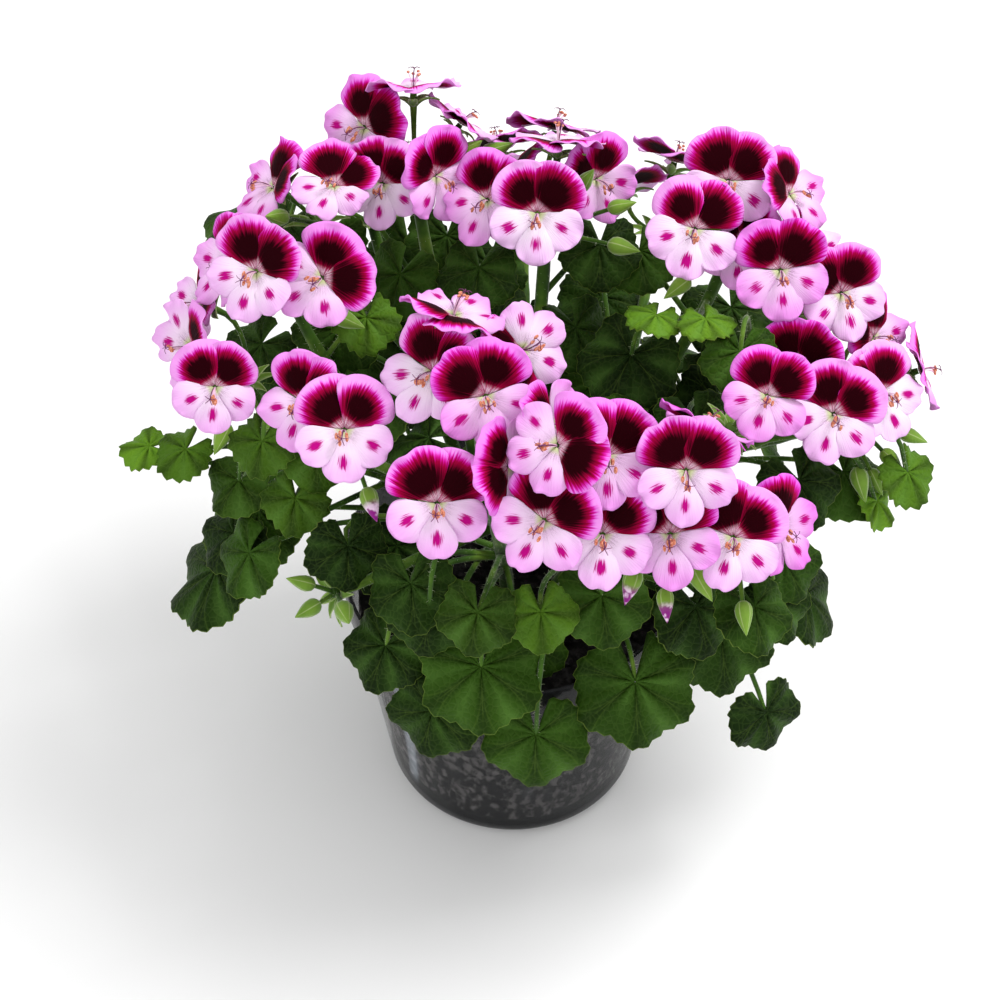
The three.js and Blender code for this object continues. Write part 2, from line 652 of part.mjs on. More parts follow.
// Blade of a leaf: a pleated fan with the same triangles on both faces, open at its heart,
// where the three corners of the petiole's end come first among its points
function leafBlade({ x, y, z, azimuth, elevation, twist, width }, item) {
  const { ahead, above } = aimed(azimuth, elevation);
  const matrix = new THREE.Matrix4()
    .makeTranslation(x, y, z)
    .multiply(new THREE.Matrix4().makeBasis(ahead.clone().cross(above), ahead, above))
    .multiply(new THREE.Matrix4().makeRotationY(degToRad(twist)));
  const count = LEAF_RIMS.find((rim) => width >= rim.width).points;
  const last = count - 1;
  const middle = last / 2;
  const rim = Array.from({ length: count }, (unused, i) => {
    const share = i / last - 0.5;
    const turn = degToRad(-share * LEAF_SPAN);
    const tooth = (i - middle) % 2 === 0 ? 1 : -1;
    const lobe = LEAF_LOBE * (draw(item, PROPERTY.leafLobe + i) - 0.5);
    const reach = LEAF_TIP - LEAF_BACK * (2 * share) ** 2 + LEAF_TOOTH * tooth + lobe;
    const drop = LEAF_DROOP * width * (reach / LEAF_TIP) ** 2;
    return new THREE.Vector3(
      reach * width * Math.sin(turn),
      reach * width * Math.cos(turn),
      LEAF_PLEAT * tooth - drop,
    );
  });
  const half = new THREE.Vector3(0, 0, LEAF_THICKNESS / 2);
  const heart = [
    new THREE.Vector3(0, 0, LEAF_THICKNESS / 2),
    new THREE.Vector3(PETIOLE_RADIUS, 0, -PETIOLE_RADIUS),
    new THREE.Vector3(-PETIOLE_RADIUS, 0, -PETIOLE_RADIUS),
  ];
  const points = [
    ...heart,
    ...rim.map((point) => point.clone().add(half)),
    ...rim.map((point) => point.clone().sub(half)),
  ].map((point) => point.applyMatrix4(matrix));
  const top = heart.length;
  const under = top + count;
  const corners = [
    0, 1, top, 1, under, top,
    0, top + last, 2, 2, top + last, under + last,
    1, 2, under + middle,
  ];
  for (let i = 0; i < last; i += 1) {
    const nearest = i < middle ? 1 : 2;
    corners.push(0, top + i, top + i + 1, nearest, under + i + 1, under + i);
    corners.push(top + i, under + i, top + i + 1, top + i + 1, under + i, under + i + 1);
  }
  return { points, corners, ahead, above };
}

// A leaf's blade alone, closed at its heart
function bladeSolid(leaf, item) {
  const { points, corners } = leafBlade(leaf, item);
  return solidFrom(points, [...corners, 0, 2, 1]);
}

// Leaf: its blade, and a petiole that arches from a stem and ends in the blade's heart
function leafSolid(leaf, item, start, arch) {
  const { points, corners, ahead, above } = leafBlade(leaf, item);
  const heart = points.slice(0, TWIG_SIDES);
  const end = heart.reduce((sum, point) => sum.add(point), new THREE.Vector3())
    .divideScalar(TWIG_SIDES);
  const reach = end.distanceTo(start);
  const control = end.clone()
    .addScaledVector(above, -arch.below * reach)
    .addScaledVector(ahead, -arch.behind * reach);
  control.z = Math.max(control.z, start.z + PETIOLE_RISE) + arch.lift * reach;
  const curve = new THREE.QuadraticBezierCurve3(start, control, end);
  const [root, middle, tip] = twigRings(curve, PETIOLE_RADIUS, 2);
  const turned = (ring, turn) => heart.map((unused, i) => ring[(i + turn) % TWIG_SIDES]);
  const strain = (turn) => turned(tip, turn)
    .reduce((sum, point, i) => sum + point.distanceTo(heart[i]), 0);
  const [straightest] = heart.map((unused, turn) => turn).sort((a, b) => strain(a) - strain(b));
  const first = points.length;
  for (let i = 0; i < TWIG_SIDES; i += 1) {
    const [a, b] = [first + i, first + ((i + 1) % TWIG_SIDES)];
    const [c, d] = [a + TWIG_SIDES, b + TWIG_SIDES];
    const next = (i + 1) % TWIG_SIDES;
    corners.push(a, b, c, b, d, c, c, d, i, d, next, i);
  }
  corners.push(first, first + 2, first + 1);
  points.push(...turned(root, straightest), ...turned(middle, straightest));
  return solidFrom(points, corners);
}

// A dome's leaves: each lies over the dome and hangs a little more than it slopes
function domeLeaves({ centre, radii, count, from, to, lowest, highest, width, property }) {
  return Array.from({ length: count }, (unused, i) => {
    const share = (i + 0.5) / count;
    const rise = Math.sin(degToRad(lowest)) * (1 - share) + Math.sin(degToRad(highest)) * share;
    const flat = Math.sqrt(1 - rise * rise);
    const azimuth = from + (to - from) * ((i * GOLDEN_RATIO) % 1);
    return {
      x: centre[0] + radii[0] * flat * Math.sin(degToRad(azimuth)),
      y: centre[1] - radii[1] * flat * Math.cos(degToRad(azimuth)),
      z: centre[2] + radii[2] * rise,
      azimuth,
      elevation: DOME_TILT.share * radToDeg(Math.asin(rise)) + DOME_TILT.hang,
      width: width * (DOME_WIDTHS.least + DOME_WIDTHS.spread * draw(i, property)),
    };
  });
}

// The same leaf, moved and turned a little more at each try
function triedLeaf(leaf, item, attempt) {
  const swung = (property) => swing(item, attempt, property);
  const [x, y, z] = PROPERTY.leafPlace.map(swung);
  return {
    x: leaf.x + x,
    y: leaf.y + y,
    z: leaf.z + z,
    azimuth: leaf.azimuth + LEAF_SWING.azimuth * swung(PROPERTY.leafAzimuth),
    elevation: leaf.elevation + LEAF_SWING.elevation * swung(PROPERTY.leafElevation),
    twist: LEAF_SWING.twist * swung(PROPERTY.leafTwist),
    width: leaf.width,
  };
}

// A bloom's entry with its throat moved ahead, aside and up as the bloom itself faces
function movedBloom([x, y, z, azimuth, elevation, ...rest], { ahead, aside, rise }) {
  const axes = aimed(azimuth, elevation);
  const throat = new THREE.Vector3(x, y, z)
    .addScaledVector(axes.ahead, ahead)
    .addScaledVector(axes.above.clone().cross(axes.ahead), aside)
    .addScaledVector(axes.above, rise);
  return [...throat, azimuth, elevation, ...rest];
}

// Every solid placed so far: the node that it belongs to, and whether leaves may grow from it
const placed = [];

function place(node, solid, isStem = false) {
  placed.push({ node, solid, isStem, box: solid.boundingBox() });
}

function boxesMeet(a, b) {
  return [0, 1, 2].every((axis) => a.min[axis] < b.max[axis] && b.min[axis] < a.max[axis]);
}

// The volume that a solid shares with those placed ones that the filter picks
function sharedVolume(solid, picks) {
  const box = solid.boundingBox();
  return placed
    .filter((other) => picks(other) && boxesMeet(box, other.box))
    .reduce((sum, other) => sum + solid.intersect(other.solid).volume(), 0);
}

// Whether a solid crosses none of the placed ones that the filter picks
function isClear(solid, picks) {
  const box = solid.boundingBox();
  return !placed.some((other) => picks(other) && boxesMeet(box, other.box)
    && solid.intersect(other.solid).volume() > NO_TOUCH);
}

const pot = potSolid();
const soil = soilSolid();
place('pot', pot);
place('soil', soil);

// Stems and branches, each with its head's flower stalks starting just inside its end
const heads = [];
for (const stem of STEMS) {
  const node = `leafy_stem_${stem.name}`;
  const main = stemCurve(stem.heads[0].umbel);
  stem.heads.forEach((head, rank) => {
    const curve = rank === 0 ? main : branchCurve(main, head.umbel);
    const solid = rank === 0
      ? stemSolid(main)
      : barSolid(curve, BRANCH_RADIUS, STEM_SIDES, BRANCH_STEPS);
    place(node, solid, true);
    const base = curve.getPointAt(1 - STALK_INSET / curve.getLength());
    heads.push({ ...head, node, base, points: curve.getSpacedPoints(STEM_POINTS) });
  });
}

// Blooms: each is moved, and its stalk bent, until both stand clear of the rest
const shifts = BLOOM_STEPS.ahead
  .flatMap((ahead) => BLOOM_STEPS.aside
    .flatMap((aside) => BLOOM_STEPS.rise.map((rise) => ({ ahead, aside, rise }))))
  .map((shift) => ({
    ...shift,
    cost: Math.hypot(shift.ahead, SIDEWAYS_COST * shift.aside, SIDEWAYS_COST * shift.rise),
  }))
  .sort((a, b) => a.cost - b.cost);

const PETALS_NODE = 'petals';
const blooms = [];

function placeBloom(head, bloom, item) {
  for (const shift of shifts) {
    const moved = movedBloom(bloom, shift);
    const petals = bloomSolid(moved, item);
    if (!isClear(petals, ({ node }) => node !== PETALS_NODE)) continue;
    if (sharedVolume(petals, ({ node }) => node === PETALS_NODE) > TOUCH) continue;
    for (const bend of STALK_BENDS) {
      const calyx = calyxSolid(head.base, moved, bend);
      if (!isClear(calyx, ({ node }) => node !== head.node)) continue;
      if (calyx.intersect(petals).volume() > NO_TOUCH) continue;
      place(head.node, calyx);
      place(PETALS_NODE, petals);
      blooms.push({ head, solid: petals, group: item });
      return;
    }
  }
}

heads
  .flatMap((head) => head.blooms.map((bloom) => ({ head, bloom })))
  .forEach(({ head, bloom }, item) => placeBloom(head, bloom, item));

// Petals that touch join the group of the first of them
blooms.forEach((one, i) => {
  blooms.slice(i + 1).forEach((other) => {
    if (one.group === other.group) return;
    if (one.solid.intersect(other.solid).volume() <= NO_TOUCH) return;
    const [kept, joined] = [one.group, other.group].sort((a, b) => a - b);
    blooms.filter(({ group }) => group === joined).forEach((bloom) => { bloom.group = kept; });
  });
});

// Buds: each stalk is turned a little more at each try until it stands clear
heads
  .flatMap((head) => head.buds.map((bud) => ({ head, bud })))
  .forEach(({ head, bud: [azimuth, elevation, stalk] }, item) => {
    for (let attempt = 0; attempt < BUD_TRIES; attempt += 1) {
      const solid = budSolid(head.base, [
        azimuth + BUD_SWING.azimuth * swing(item, attempt, PROPERTY.budAzimuth),
        elevation + BUD_SWING.elevation * swing(item, attempt, PROPERTY.budElevation),
        stalk,
      ]);
      if (isClear(solid, ({ node }) => node !== head.node)) {
        place(head.node, solid);
        return;
      }
    }
  });

// The places where a leaf's petiole can leave the stems, the nearest first
function petioleStarts({ x, y, z }, item) {
  const end = new THREE.Vector3(x, y, z);
  const spreadOf = ({ least, spread }, property) => least + spread * draw(item, property);
  const lowest = SOIL_TOP + spreadOf(PETIOLE_ABOVE_SOIL, PROPERTY.petioleAboveSoil);
  const under = spreadOf(PETIOLE_BELOW_HEAD, PROPERTY.petioleBelowHead);
  return heads
    .flatMap(({ node, umbel, points }) => PETIOLE_DROPS.map((drop) => {
      const height = Math.min(Math.max(z - drop, lowest), umbel[2] - under);
      const gap = (point) => Math.abs(point.z - height);
      const start = points.reduce((best, point) => (gap(point) < gap(best) ? point : best));
      return { node, start, reach: start.distanceTo(end) };
    }))
    .sort((a, b) => a.reach - b.reach)
    .slice(0, PETIOLE_STARTS);
}

// Leaves: each swings a little more at each try, until its blade is clear of everything and
// its petiole reaches a stem past everything else. Where no try is clear, no leaf grows.
function placeLeaf(leaf, item) {
  for (let attempt = 0; attempt < LEAF_TRIES; attempt += 1) {
    const tried = triedLeaf(leaf, item, attempt);
    if (!isClear(bladeSolid(tried, item), () => true)) continue;
    for (const { node, start } of petioleStarts(tried, item)) {
      for (const arch of PETIOLE_ARCHES) {
        const solid = leafSolid(tried, item, start, arch);
        if (!isClear(solid, (other) => other.node !== node || !other.isStem)) continue;
        place(node, solid);
        return;
      }
    }
  }
}

const seenLeaves = SEEN_LEAVES.map(([x, y, z, azimuth, elevation, width]) => (
  { x, y, z, azimuth, elevation, width }));
[...domeLeaves(INNER_DOME), ...seenLeaves, ...domeLeaves(REAR_DOME)].forEach(placeLeaf);

// Colours and gloss of the four kinds of node
const LOOKS = {
  pot: { color: 0x4a4d50, roughness: 0.25 },
  soil: { color: 0x2b2421, roughness: 0.95 },
  leafyStem: { color: 0x2f5a2a, roughness: 0.6 },
  petals: { color: 0xe29ad0, roughness: 0.5 },
};

// The group that holds one named mesh for each node. Of a node's joined solids the largest
// body is kept, because a join can leave loose scraps.
const plant = new THREE.Group();

function addNode(name, solid, look) {
  const material = new THREE.MeshStandardMaterial({ ...look, metalness: 0 });
  const [body] = solid.decompose().sort((a, b) => b.volume() - a.volume());
  const mesh = new THREE.Mesh(geometryOf(body), material);
  mesh.name = name;
  plant.add(mesh);
}

addNode('pot', pot, LOOKS.pot);
addNode('soil', soil, LOOKS.soil);
for (const node of new Set(heads.map((head) => head.node))) {
  const solids = placed.filter((entry) => entry.node === node).map(({ solid }) => solid);
  addNode(node, wasm.Manifold.union(solids), LOOKS.leafyStem);
}
for (const head of heads) {
  const own = blooms.filter((bloom) => bloom.head === head);
  const groups = [...new Set(own.map(({ group }) => group))]
    .filter((group) => blooms.find((bloom) => bloom.group === group).head === head);
  groups.forEach((group, i) => {
    const solids = blooms.filter((bloom) => bloom.group === group).map(({ solid }) => solid);
    addNode(`petals_${head.name}_${i + 1}`, wasm.Manifold.union(solids), LOOKS.petals);
  });
}

export default plant;
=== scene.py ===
"""Angel pelargonium in a smoky nursery pot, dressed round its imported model.

Lengths are in millimetres until a mesh is made. The viewer looks along +Y, from above.
Azimuths are degrees round the pot, 0 towards the viewer and 90 to the viewer's right,
and elevations are degrees above the horizontal.
"""
import math

import bpy
import numpy as np
from mathutils import Matrix, Vector
from mathutils.kdtree import KDTree


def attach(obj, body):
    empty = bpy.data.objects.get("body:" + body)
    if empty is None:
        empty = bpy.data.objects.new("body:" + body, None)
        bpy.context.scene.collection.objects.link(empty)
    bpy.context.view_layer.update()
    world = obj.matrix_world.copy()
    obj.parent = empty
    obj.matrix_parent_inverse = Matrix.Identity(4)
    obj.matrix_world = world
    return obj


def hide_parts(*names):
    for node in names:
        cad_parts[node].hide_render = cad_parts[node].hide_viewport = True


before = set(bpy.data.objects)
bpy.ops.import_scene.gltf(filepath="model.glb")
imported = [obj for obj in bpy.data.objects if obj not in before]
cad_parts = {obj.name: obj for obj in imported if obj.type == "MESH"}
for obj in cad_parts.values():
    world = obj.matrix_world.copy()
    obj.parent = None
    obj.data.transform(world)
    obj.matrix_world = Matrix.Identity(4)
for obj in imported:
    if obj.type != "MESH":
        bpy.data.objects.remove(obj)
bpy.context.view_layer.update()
MM = 0.001


# Pot: a thin see-through nursery pot, vacuum formed in smoky plastic, with a rounded foot,
# a collar that stiffens its rim and drain holes in its base. It is turned in one piece.
POT_HEIGHT = 117
FOOT_RADIUS = 50.5
FOOT_ROUNDING = 8
WALL_TAPER = 0.13
WALL = 1.6
COLLAR_RADIUS = 66
COLLAR_HEIGHT = 16
COLLAR_LEAN = 0.4
STEP_BEND = (0.6, 0.5)
COLLAR_BENDS = [(0.5, 0.8), (0, 1.3)]
LIP_ROUNDING = 0.8
DRAIN_RADIUS = 4
DRAIN_RING = 30
DRAIN_COUNT = 4
TURNING_STEPS = 96
SMOOTH_ANGLE = 40
DRILL_SIDES = 32
# Two painted highlights and two darker bands of the wall, in radians round it and metres up it
GLARE = {"turn": 0.93, "lean": 2, "half_width": 0.07, "foot": 0.012, "top": 0.097}
GLINT = {"turn": 1.16, "half_width": 0.15, "height": 0.073, "half_height": 0.014}
STEP_BAND = 0.1
FOOT_BAND = 0.005


def linear(hex_colour):
    """A colour of the screen as the linear red, green, blue and alpha that a shader takes."""
    shades = [int(hex_colour[i:i + 2], 16) / 255 for i in (0, 2, 4)]
    return [s / 12.92 if s < 0.04045 else ((s + 0.055) / 1.055) ** 2.4 for s in shades] + [1]


class Flow:
    """What flows out of a socket, with Python's arithmetic."""

    def __init__(self, finish, socket):
        self.finish = finish
        self.socket = socket

    def __add__(self, other):
        return self.finish.math("ADD", self, other)

    def __sub__(self, other):
        return self.finish.math("SUBTRACT", self, other)

    def __rsub__(self, other):
        return self.finish.math("SUBTRACT", other, self)

    def __mul__(self, other):
        return self.finish.math("MULTIPLY", self, other)

    def __truediv__(self, other):
        return self.finish.math("DIVIDE", self, other)

    def __pow__(self, other):
        return self.finish.math("POWER", self, other)

    def __neg__(self):
        return self * -1

    def __abs__(self):
        return self.finish.math("ABSOLUTE", self)

    __radd__ = __add__
    __rmul__ = __mul__


class Finish:
    """A material: its nodes, and what they feed on its shader."""

    def __init__(self, name, **fixed):
        self.material = bpy.data.materials.new(name)
        self.material.use_nodes = True
        self.tree = self.material.node_tree
        self.shader = self.tree.nodes["Principled BSDF"]
        self.paint(**fixed)

    def paint(self, **sockets):
        """Sets or feeds sockets of the shader; base_color stands for Base Color."""
        for name, value in sockets.items():
            label = name.replace("_", " ").title().replace("Ior", "IOR")
            self.feed(self.shader.inputs[label], value)
        return self

    def feed(self, socket, value):
        """Links or sets a socket; a string is a colour of the screen."""
        if isinstance(value, Flow):
            self.tree.links.new(value.socket, socket)
        else:
            socket.default_value = linear(value) if isinstance(value, str) else value

    def node(self, kind, settings, inputs, output=0):
        """A new node with its settings, then what its sockets take; it gives one output."""
        node = self.tree.nodes.new(kind)
        for name, value in settings.items():
            if name == "stops":
                ramp = node.color_ramp
                for extra in value[2:]:
                    ramp.elements.new(extra[0])
                for element, (place, colour) in zip(ramp.elements, value):
                    element.position = place
                    element.color = linear(colour)
            else:
                setattr(node, name, value)
        for name, value in inputs.items():
            self.feed(node.inputs[name], value)
        return Flow(self, node.outputs[output])

    def math(self, operation, *values):
        return self.node("ShaderNodeMath", {"operation": operation}, dict(enumerate(values)))

    def mix(self, share, first, second):
        settings = {"data_type": "RGBA"}
        return self.node("ShaderNodeMix", settings, {0: share, 6: first, 7: second}, 2)

    def layered(self, colour, *layers):
        """A colour with others laid over it, each by its share."""
        for share, layer in layers:
            colour = self.mix(share, colour, layer)
        return colour

    def step(self, value, low, high):
        """0 below low and 1 above high, smooth between; the other way round if high is less."""
        first, last, least, most = (low, high, 0.0, 1.0) if low < high else (high, low, 1.0, 0.0)
        inputs = {0: value, 1: first, 2: last, 3: least, 4: most}
        return self.node("ShaderNodeMapRange", {"interpolation_type": "SMOOTHSTEP"}, inputs)

    def ramp(self, value, *stops):
        return self.node("ShaderNodeValToRGB", {"stops": stops}, {0: value})

    def place(self):
        """The place on the piece, in metres."""
        return self.node("ShaderNodeTexCoord", {}, {}, "Object")

    def coordinate(self, axis):
        """The place on the piece along one axis, in metres."""
        return self.node("ShaderNodeSeparateXYZ", {}, {0: self.place()}, axis)

    def along(self, number):
        """One coordinate of the piece's own map: 0 is across, 1 is along."""
        uv = self.node("ShaderNodeUVMap", {"uv_map": "UVMap"}, {})
        return self.node("ShaderNodeSeparateXYZ", {}, {0: uv}, number)

    def trait(self, name):
        """A number that the mesh carries at its points."""
        return self.node("ShaderNodeAttribute", {"attribute_name": name}, {}, "Fac")

    def vector(self, x, y, z):
        return self.node("ShaderNodeCombineXYZ", {}, {0: x, 1: y, 2: z})

    def noise(self, scale, detail=2.0, place=None, roughness=0.5):
        inputs = {"Vector": place or self.place(), "Scale": scale, "Detail": detail,
                  "Roughness": roughness}
        return self.node("ShaderNodeTexNoise", {}, inputs)

    def relief(self, height, distance):
        """Feeds the shader's normal with a bump of that height in metres."""
        return self.paint(normal=self.node("ShaderNodeBump", {}, {"Height": height,
                                                                   "Distance": distance}))


def alone(piece):
    """Makes a piece the only one that is selected, and the active one."""
    bpy.ops.object.select_all(action="DESELECT")
    piece.select_set(True)
    bpy.context.view_layer.objects.active = piece
    return piece


def placed(name, data):
    """A new object for a mesh or curve, at the origin."""
    piece = bpy.data.objects.new(name, data)
    bpy.context.collection.objects.link(piece)
    return piece


def turned(name, profile):
    """A closed piece of revolution, from radii and heights that start and end on the axis."""
    mesh = bpy.data.meshes.new(name)
    points = [(radius * MM, 0, height * MM) for radius, height in profile]
    mesh.from_pydata(points, [(i, i + 1) for i in range(len(points) - 1)], [])
    piece = alone(placed(name, mesh))
    bpy.ops.object.mode_set(mode="EDIT")
    bpy.ops.mesh.select_all(action="SELECT")
    bpy.ops.mesh.spin(steps=TURNING_STEPS, angle=2 * math.pi, center=(0, 0, 0), axis=(0, 0, 1))
    bpy.ops.mesh.select_all(action="SELECT")
    bpy.ops.mesh.remove_doubles(threshold=1e-6)
    bpy.ops.mesh.normals_make_consistent(inside=False)
    bpy.ops.object.mode_set(mode="OBJECT")
    bpy.ops.object.shade_smooth_by_angle(angle=math.radians(SMOOTH_ANGLE))
    return piece


def arc(centre, radius, first, last, steps):
    """Points on a round corner of a profile, from one angle to another in degrees."""
    angles = np.radians(np.linspace(first, last, steps))
    return [(centre[0] + radius * math.cos(a), centre[1] + radius * math.sin(a)) for a in angles]


def wall_at(height):
    """The wall's outer radius at a height."""
    return FOOT_RADIUS + WALL_TAPER * height


def finished(piece, finish, slot, *nodes):
    """Paints a piece, hides the imported nodes that it stands for and attaches it so that it stays
    with the pot.
    """
    piece.data.materials.clear()
    piece.data.materials.append(finish.material)
    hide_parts(*nodes)
    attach(piece, "root")
    return piece


step = POT_HEIGHT - COLLAR_HEIGHT
foot = wall_at(FOOT_ROUNDING)
inside = COLLAR_RADIUS - WALL
corner = (foot - FOOT_ROUNDING, FOOT_ROUNDING)
lip = (COLLAR_RADIUS - LIP_ROUNDING, POT_HEIGHT - LIP_ROUNDING)
pot = turned("nursery_pot", [
    (0, 0),
    *arc(corner, FOOT_ROUNDING, -90, 0, 8),
    (wall_at(step), step),
    (wall_at(step) + STEP_BEND[0], step + STEP_BEND[1]),
    *[(COLLAR_RADIUS - COLLAR_LEAN - inset, step + rise) for inset, rise in COLLAR_BENDS],
    *arc(lip, LIP_ROUNDING, 0, 180, 7),
    (inside - COLLAR_LEAN, step + WALL),
    (wall_at(step) - WALL, step - 1),
    *arc(corner, FOOT_ROUNDING - WALL, 0, -90, 8),
    (0, WALL),
])
for i in range(DRAIN_COUNT):
    turn = (i + 0.5) / DRAIN_COUNT * 2 * math.pi
    place = (DRAIN_RING * math.cos(turn) * MM, DRAIN_RING * math.sin(turn) * MM, 0)
    bpy.ops.mesh.primitive_cylinder_add(radius=DRAIN_RADIUS * MM, depth=4 * WALL * MM,
                                        location=place, vertices=DRILL_SIDES)
    drill = bpy.context.object
    alone(pot)
    cut = pot.modifiers.new("drain", "BOOLEAN")
    cut.object = drill
    bpy.ops.object.modifier_apply(modifier=cut.name)
    bpy.data.objects.remove(drill)

smoky = Finish("smoky_plastic", ior=1.49, specular_ior_level=0.22)
upright = smoky.node("ShaderNodeMapping", {}, {"Vector": smoky.place(), "Scale": (1, 1, 0.25)})
dents = smoky.noise(28, 2, upright)
dust = smoky.step(smoky.noise(45, 3, upright), 0.58, 0.75)
across, deep, height = (smoky.coordinate(axis) for axis in range(3))
around = smoky.math("ARCTAN2", across, -deep) + (dents - 0.5) * 0.4
glare = (smoky.step(abs(around + GLARE["turn"] - height * GLARE["lean"]),
                    GLARE["half_width"], 0.03)
         * smoky.step(height, GLARE["foot"], 0.025) * smoky.step(height, GLARE["top"], 0.085))
glint = (smoky.step(abs(around - GLINT["turn"]), GLINT["half_width"], 0.08)
         * smoky.step(abs(height - GLINT["height"]), GLINT["half_height"], 0.008))
thick = smoky.math("MAXIMUM", smoky.step(height, STEP_BAND - 0.001, STEP_BAND + 0.002),
                   smoky.step(height, FOOT_BAND + 0.002, FOOT_BAND - 0.002))
# The glare and the glint are painted highlights: pale blue-grey laid on the wall where light would
# reflect off it.
pale = smoky.math("MAXIMUM", glare * 0.8, glint * 0.9)
tint = smoky.mix(dust, "17181a", "54575c")
smoky.paint(base_color=smoky.mix(pale, tint, "b4bcc6"),
            roughness=0.06 + smoky.noise(60, 3) * 0.14,
            alpha=smoky.step(dents, 0.45, 0.8) * 0.12 + thick * 0.34 + 0.46)
smoky.relief(dents, 0.003)
finished(pot, smoky, "pot_plastic", "pot")


# Compost: coarse peat and composted bark that fills the pot. It stands a little clear of the
# pot's rounded foot, and its loose pieces lie on top in a low mound.
SOIL_EDGE = 103
SOIL_TOP = 108
SOIL_SHOULDER = [(0, 0), (8, 1.4), (16, 2.8)]
MOUND = [(36, 1), (24, 0.7), (12, 0.3), (0, 0)]
SOIL_GAP = 0.3
SOIL_FLOOR = WALL + 0.7
SOIL_FOOT = 11
FOOT_INSETS = (15, 6)
SHOULDER_INSET = 2
SOIL_ROUGHNESS = 1.3
CHIPS = 420
CHIP_SIZE = (1.8, 5.5)
CHIP_BREADTH = (0.4, 0.8)
CHIP_DEPTH = (0.2, 0.45)
CHIP_TILT = 0.5
CHIP_RADIUS = 0.6
CHIP_SINK = 0.6
rng = np.random.default_rng(7)


def places_of(mesh):
    """The places of a mesh's points, one to a row."""
    places = np.empty(len(mesh.vertices) * 3)
    mesh.vertices.foreach_get("co", places)
    return places.reshape(-1, 3)


def merged(pieces):
    """One object from several: the first takes up the others."""
    first = alone(pieces[0])
    for piece in pieces[1:]:
        piece.select_set(True)
    if len(pieces) > 1:
        bpy.ops.object.join()
    return first


soil_side = SOIL_EDGE - 4
soil = turned("compost", [
    (0, SOIL_FLOOR),
    (wall_at(0) - WALL - FOOT_INSETS[0], SOIL_FLOOR),
    (wall_at(SOIL_FOOT / 2) - WALL - FOOT_INSETS[1], SOIL_FOOT / 2),
    *[(wall_at(height) - WALL - SOIL_GAP, height)
      for height in np.linspace(SOIL_FOOT, soil_side, 30)],
    *[(wall_at(SOIL_EDGE) - WALL - SOIL_GAP - SHOULDER_INSET - inset, SOIL_EDGE + rise)
      for inset, rise in SOIL_SHOULDER],
    *[(radius, SOIL_TOP - drop) for radius, drop in MOUND],
])
points = places_of(soil.data) / MM
sunk = rng.random(len(points)) * SOIL_ROUGHNESS
outward = points * (1, 1, 0) / np.maximum(np.hypot(points[:, 0], points[:, 1]), 1)[:, None]
on_top = (points[:, 2] > SOIL_EDGE - 2)[:, None]
points -= np.where(on_top, (0, 0, 1), outward) * sunk[:, None]
soil.data.vertices.foreach_set("co", (points * MM).ravel())

bark = Finish("bark_compost", roughness=0.9, specular_ior_level=0.2)
squat = bark.node("ShaderNodeMapping", {}, {"Vector": bark.place(), "Scale": (1, 1, 0.6)})
lumps = bark.node("ShaderNodeTexVoronoi", {"feature": "F1"},
                  {"Vector": squat, "Scale": 260.0, "Randomness": 1.0}, "Distance")
clods = bark.noise(320, 4, squat, 0.6)
height = bark.coordinate(2)
# Painted light: the ramp's light greys are lighter than compost is, so that the sides still show
# bright through the smoky wall.
bare = bark.ramp(clods * 1.2 - lumps * 0.4, (0.3, "020202"), (0.37, "3f3b3c"),
                 (0.46, "989191"), (0.6, "d8d2d0"))
# Painted shade: above 0.1 m the top of the compost is painted near-black, for the shade that the
# plant casts on it.
bark.paint(base_color=bark.mix(bark.step(height, 0.098, 0.102) * 0.97, bare, "0a0807"))
bark.relief(clods - lumps * 0.6, 0.001)

chips = []
for i in range(CHIPS):
    out = (wall_at(SOIL_EDGE) - 6) * math.sqrt(rng.random())
    turn = rng.random() * 2 * math.pi
    height = SOIL_EDGE + (SOIL_TOP - SOIL_EDGE) * min(1, (60 - out) / 24) - CHIP_SINK
    size = rng.uniform(*CHIP_SIZE)
    shape = Matrix.Diagonal((size, size * rng.uniform(*CHIP_BREADTH),
                             size * rng.uniform(*CHIP_DEPTH), 1))
    lie = (Matrix.Rotation(rng.uniform(-CHIP_TILT, CHIP_TILT), 4, "X")
           @ Matrix.Rotation(turn * 7, 4, "Z"))
    spot = Matrix.Translation((out * math.cos(turn), out * math.sin(turn), height))
    bpy.ops.mesh.primitive_ico_sphere_add(subdivisions=1, radius=CHIP_RADIUS)
    chip = bpy.context.object
    chip.data.transform(Matrix.Scale(MM, 4) @ spot @ lie @ shape)
    chips.append(chip)
finished(merged([soil, *chips]), bark, "compost", "soil")


# Stems: upright and branching, soft and green, with their feet in the compost. Each follows
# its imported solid: the part's own lists and rules are repeated here, and of the ways that a
# bloom, bud or leaf could have taken, the one whose corners the solid has is kept.
STEM_RADIUS = 2.7
BRANCH_RADIUS = 2.2
STEM_TAPER = 0.78
ROOT_SPREAD = 0.3
ROOT_DEPTH = 12
STEM_BEND = [(0.38, 0.35), (0.86, 0.55)]
BRANCH_AT = 0.28
BRANCH_BEND = {"along": 0.4, "start": 0.135, "end": 0.45}
STALK_INSET = 2
STALK_SPREAD = 0.7
STEM_POINTS = 60
STEM_SWELL = 0.16
CURVE_STEPS = 200
LARGEST_SWING = 10
TRIES_APART = 64
NEAR = 0.06


def draw(item, number):
    """A seeded draw between 0 and 1 for one item and one of its properties."""
    value = math.sin(item * 12.9898 + number * 78.233) * 43758.5453
    return value - math.floor(value)


def swing(item, attempt, number):
    """A number that swings further from 0 at each try."""
    most = 2 * min(attempt, LARGEST_SWING)
    return most * (draw(item * TRIES_APART + attempt, number) - 0.5)


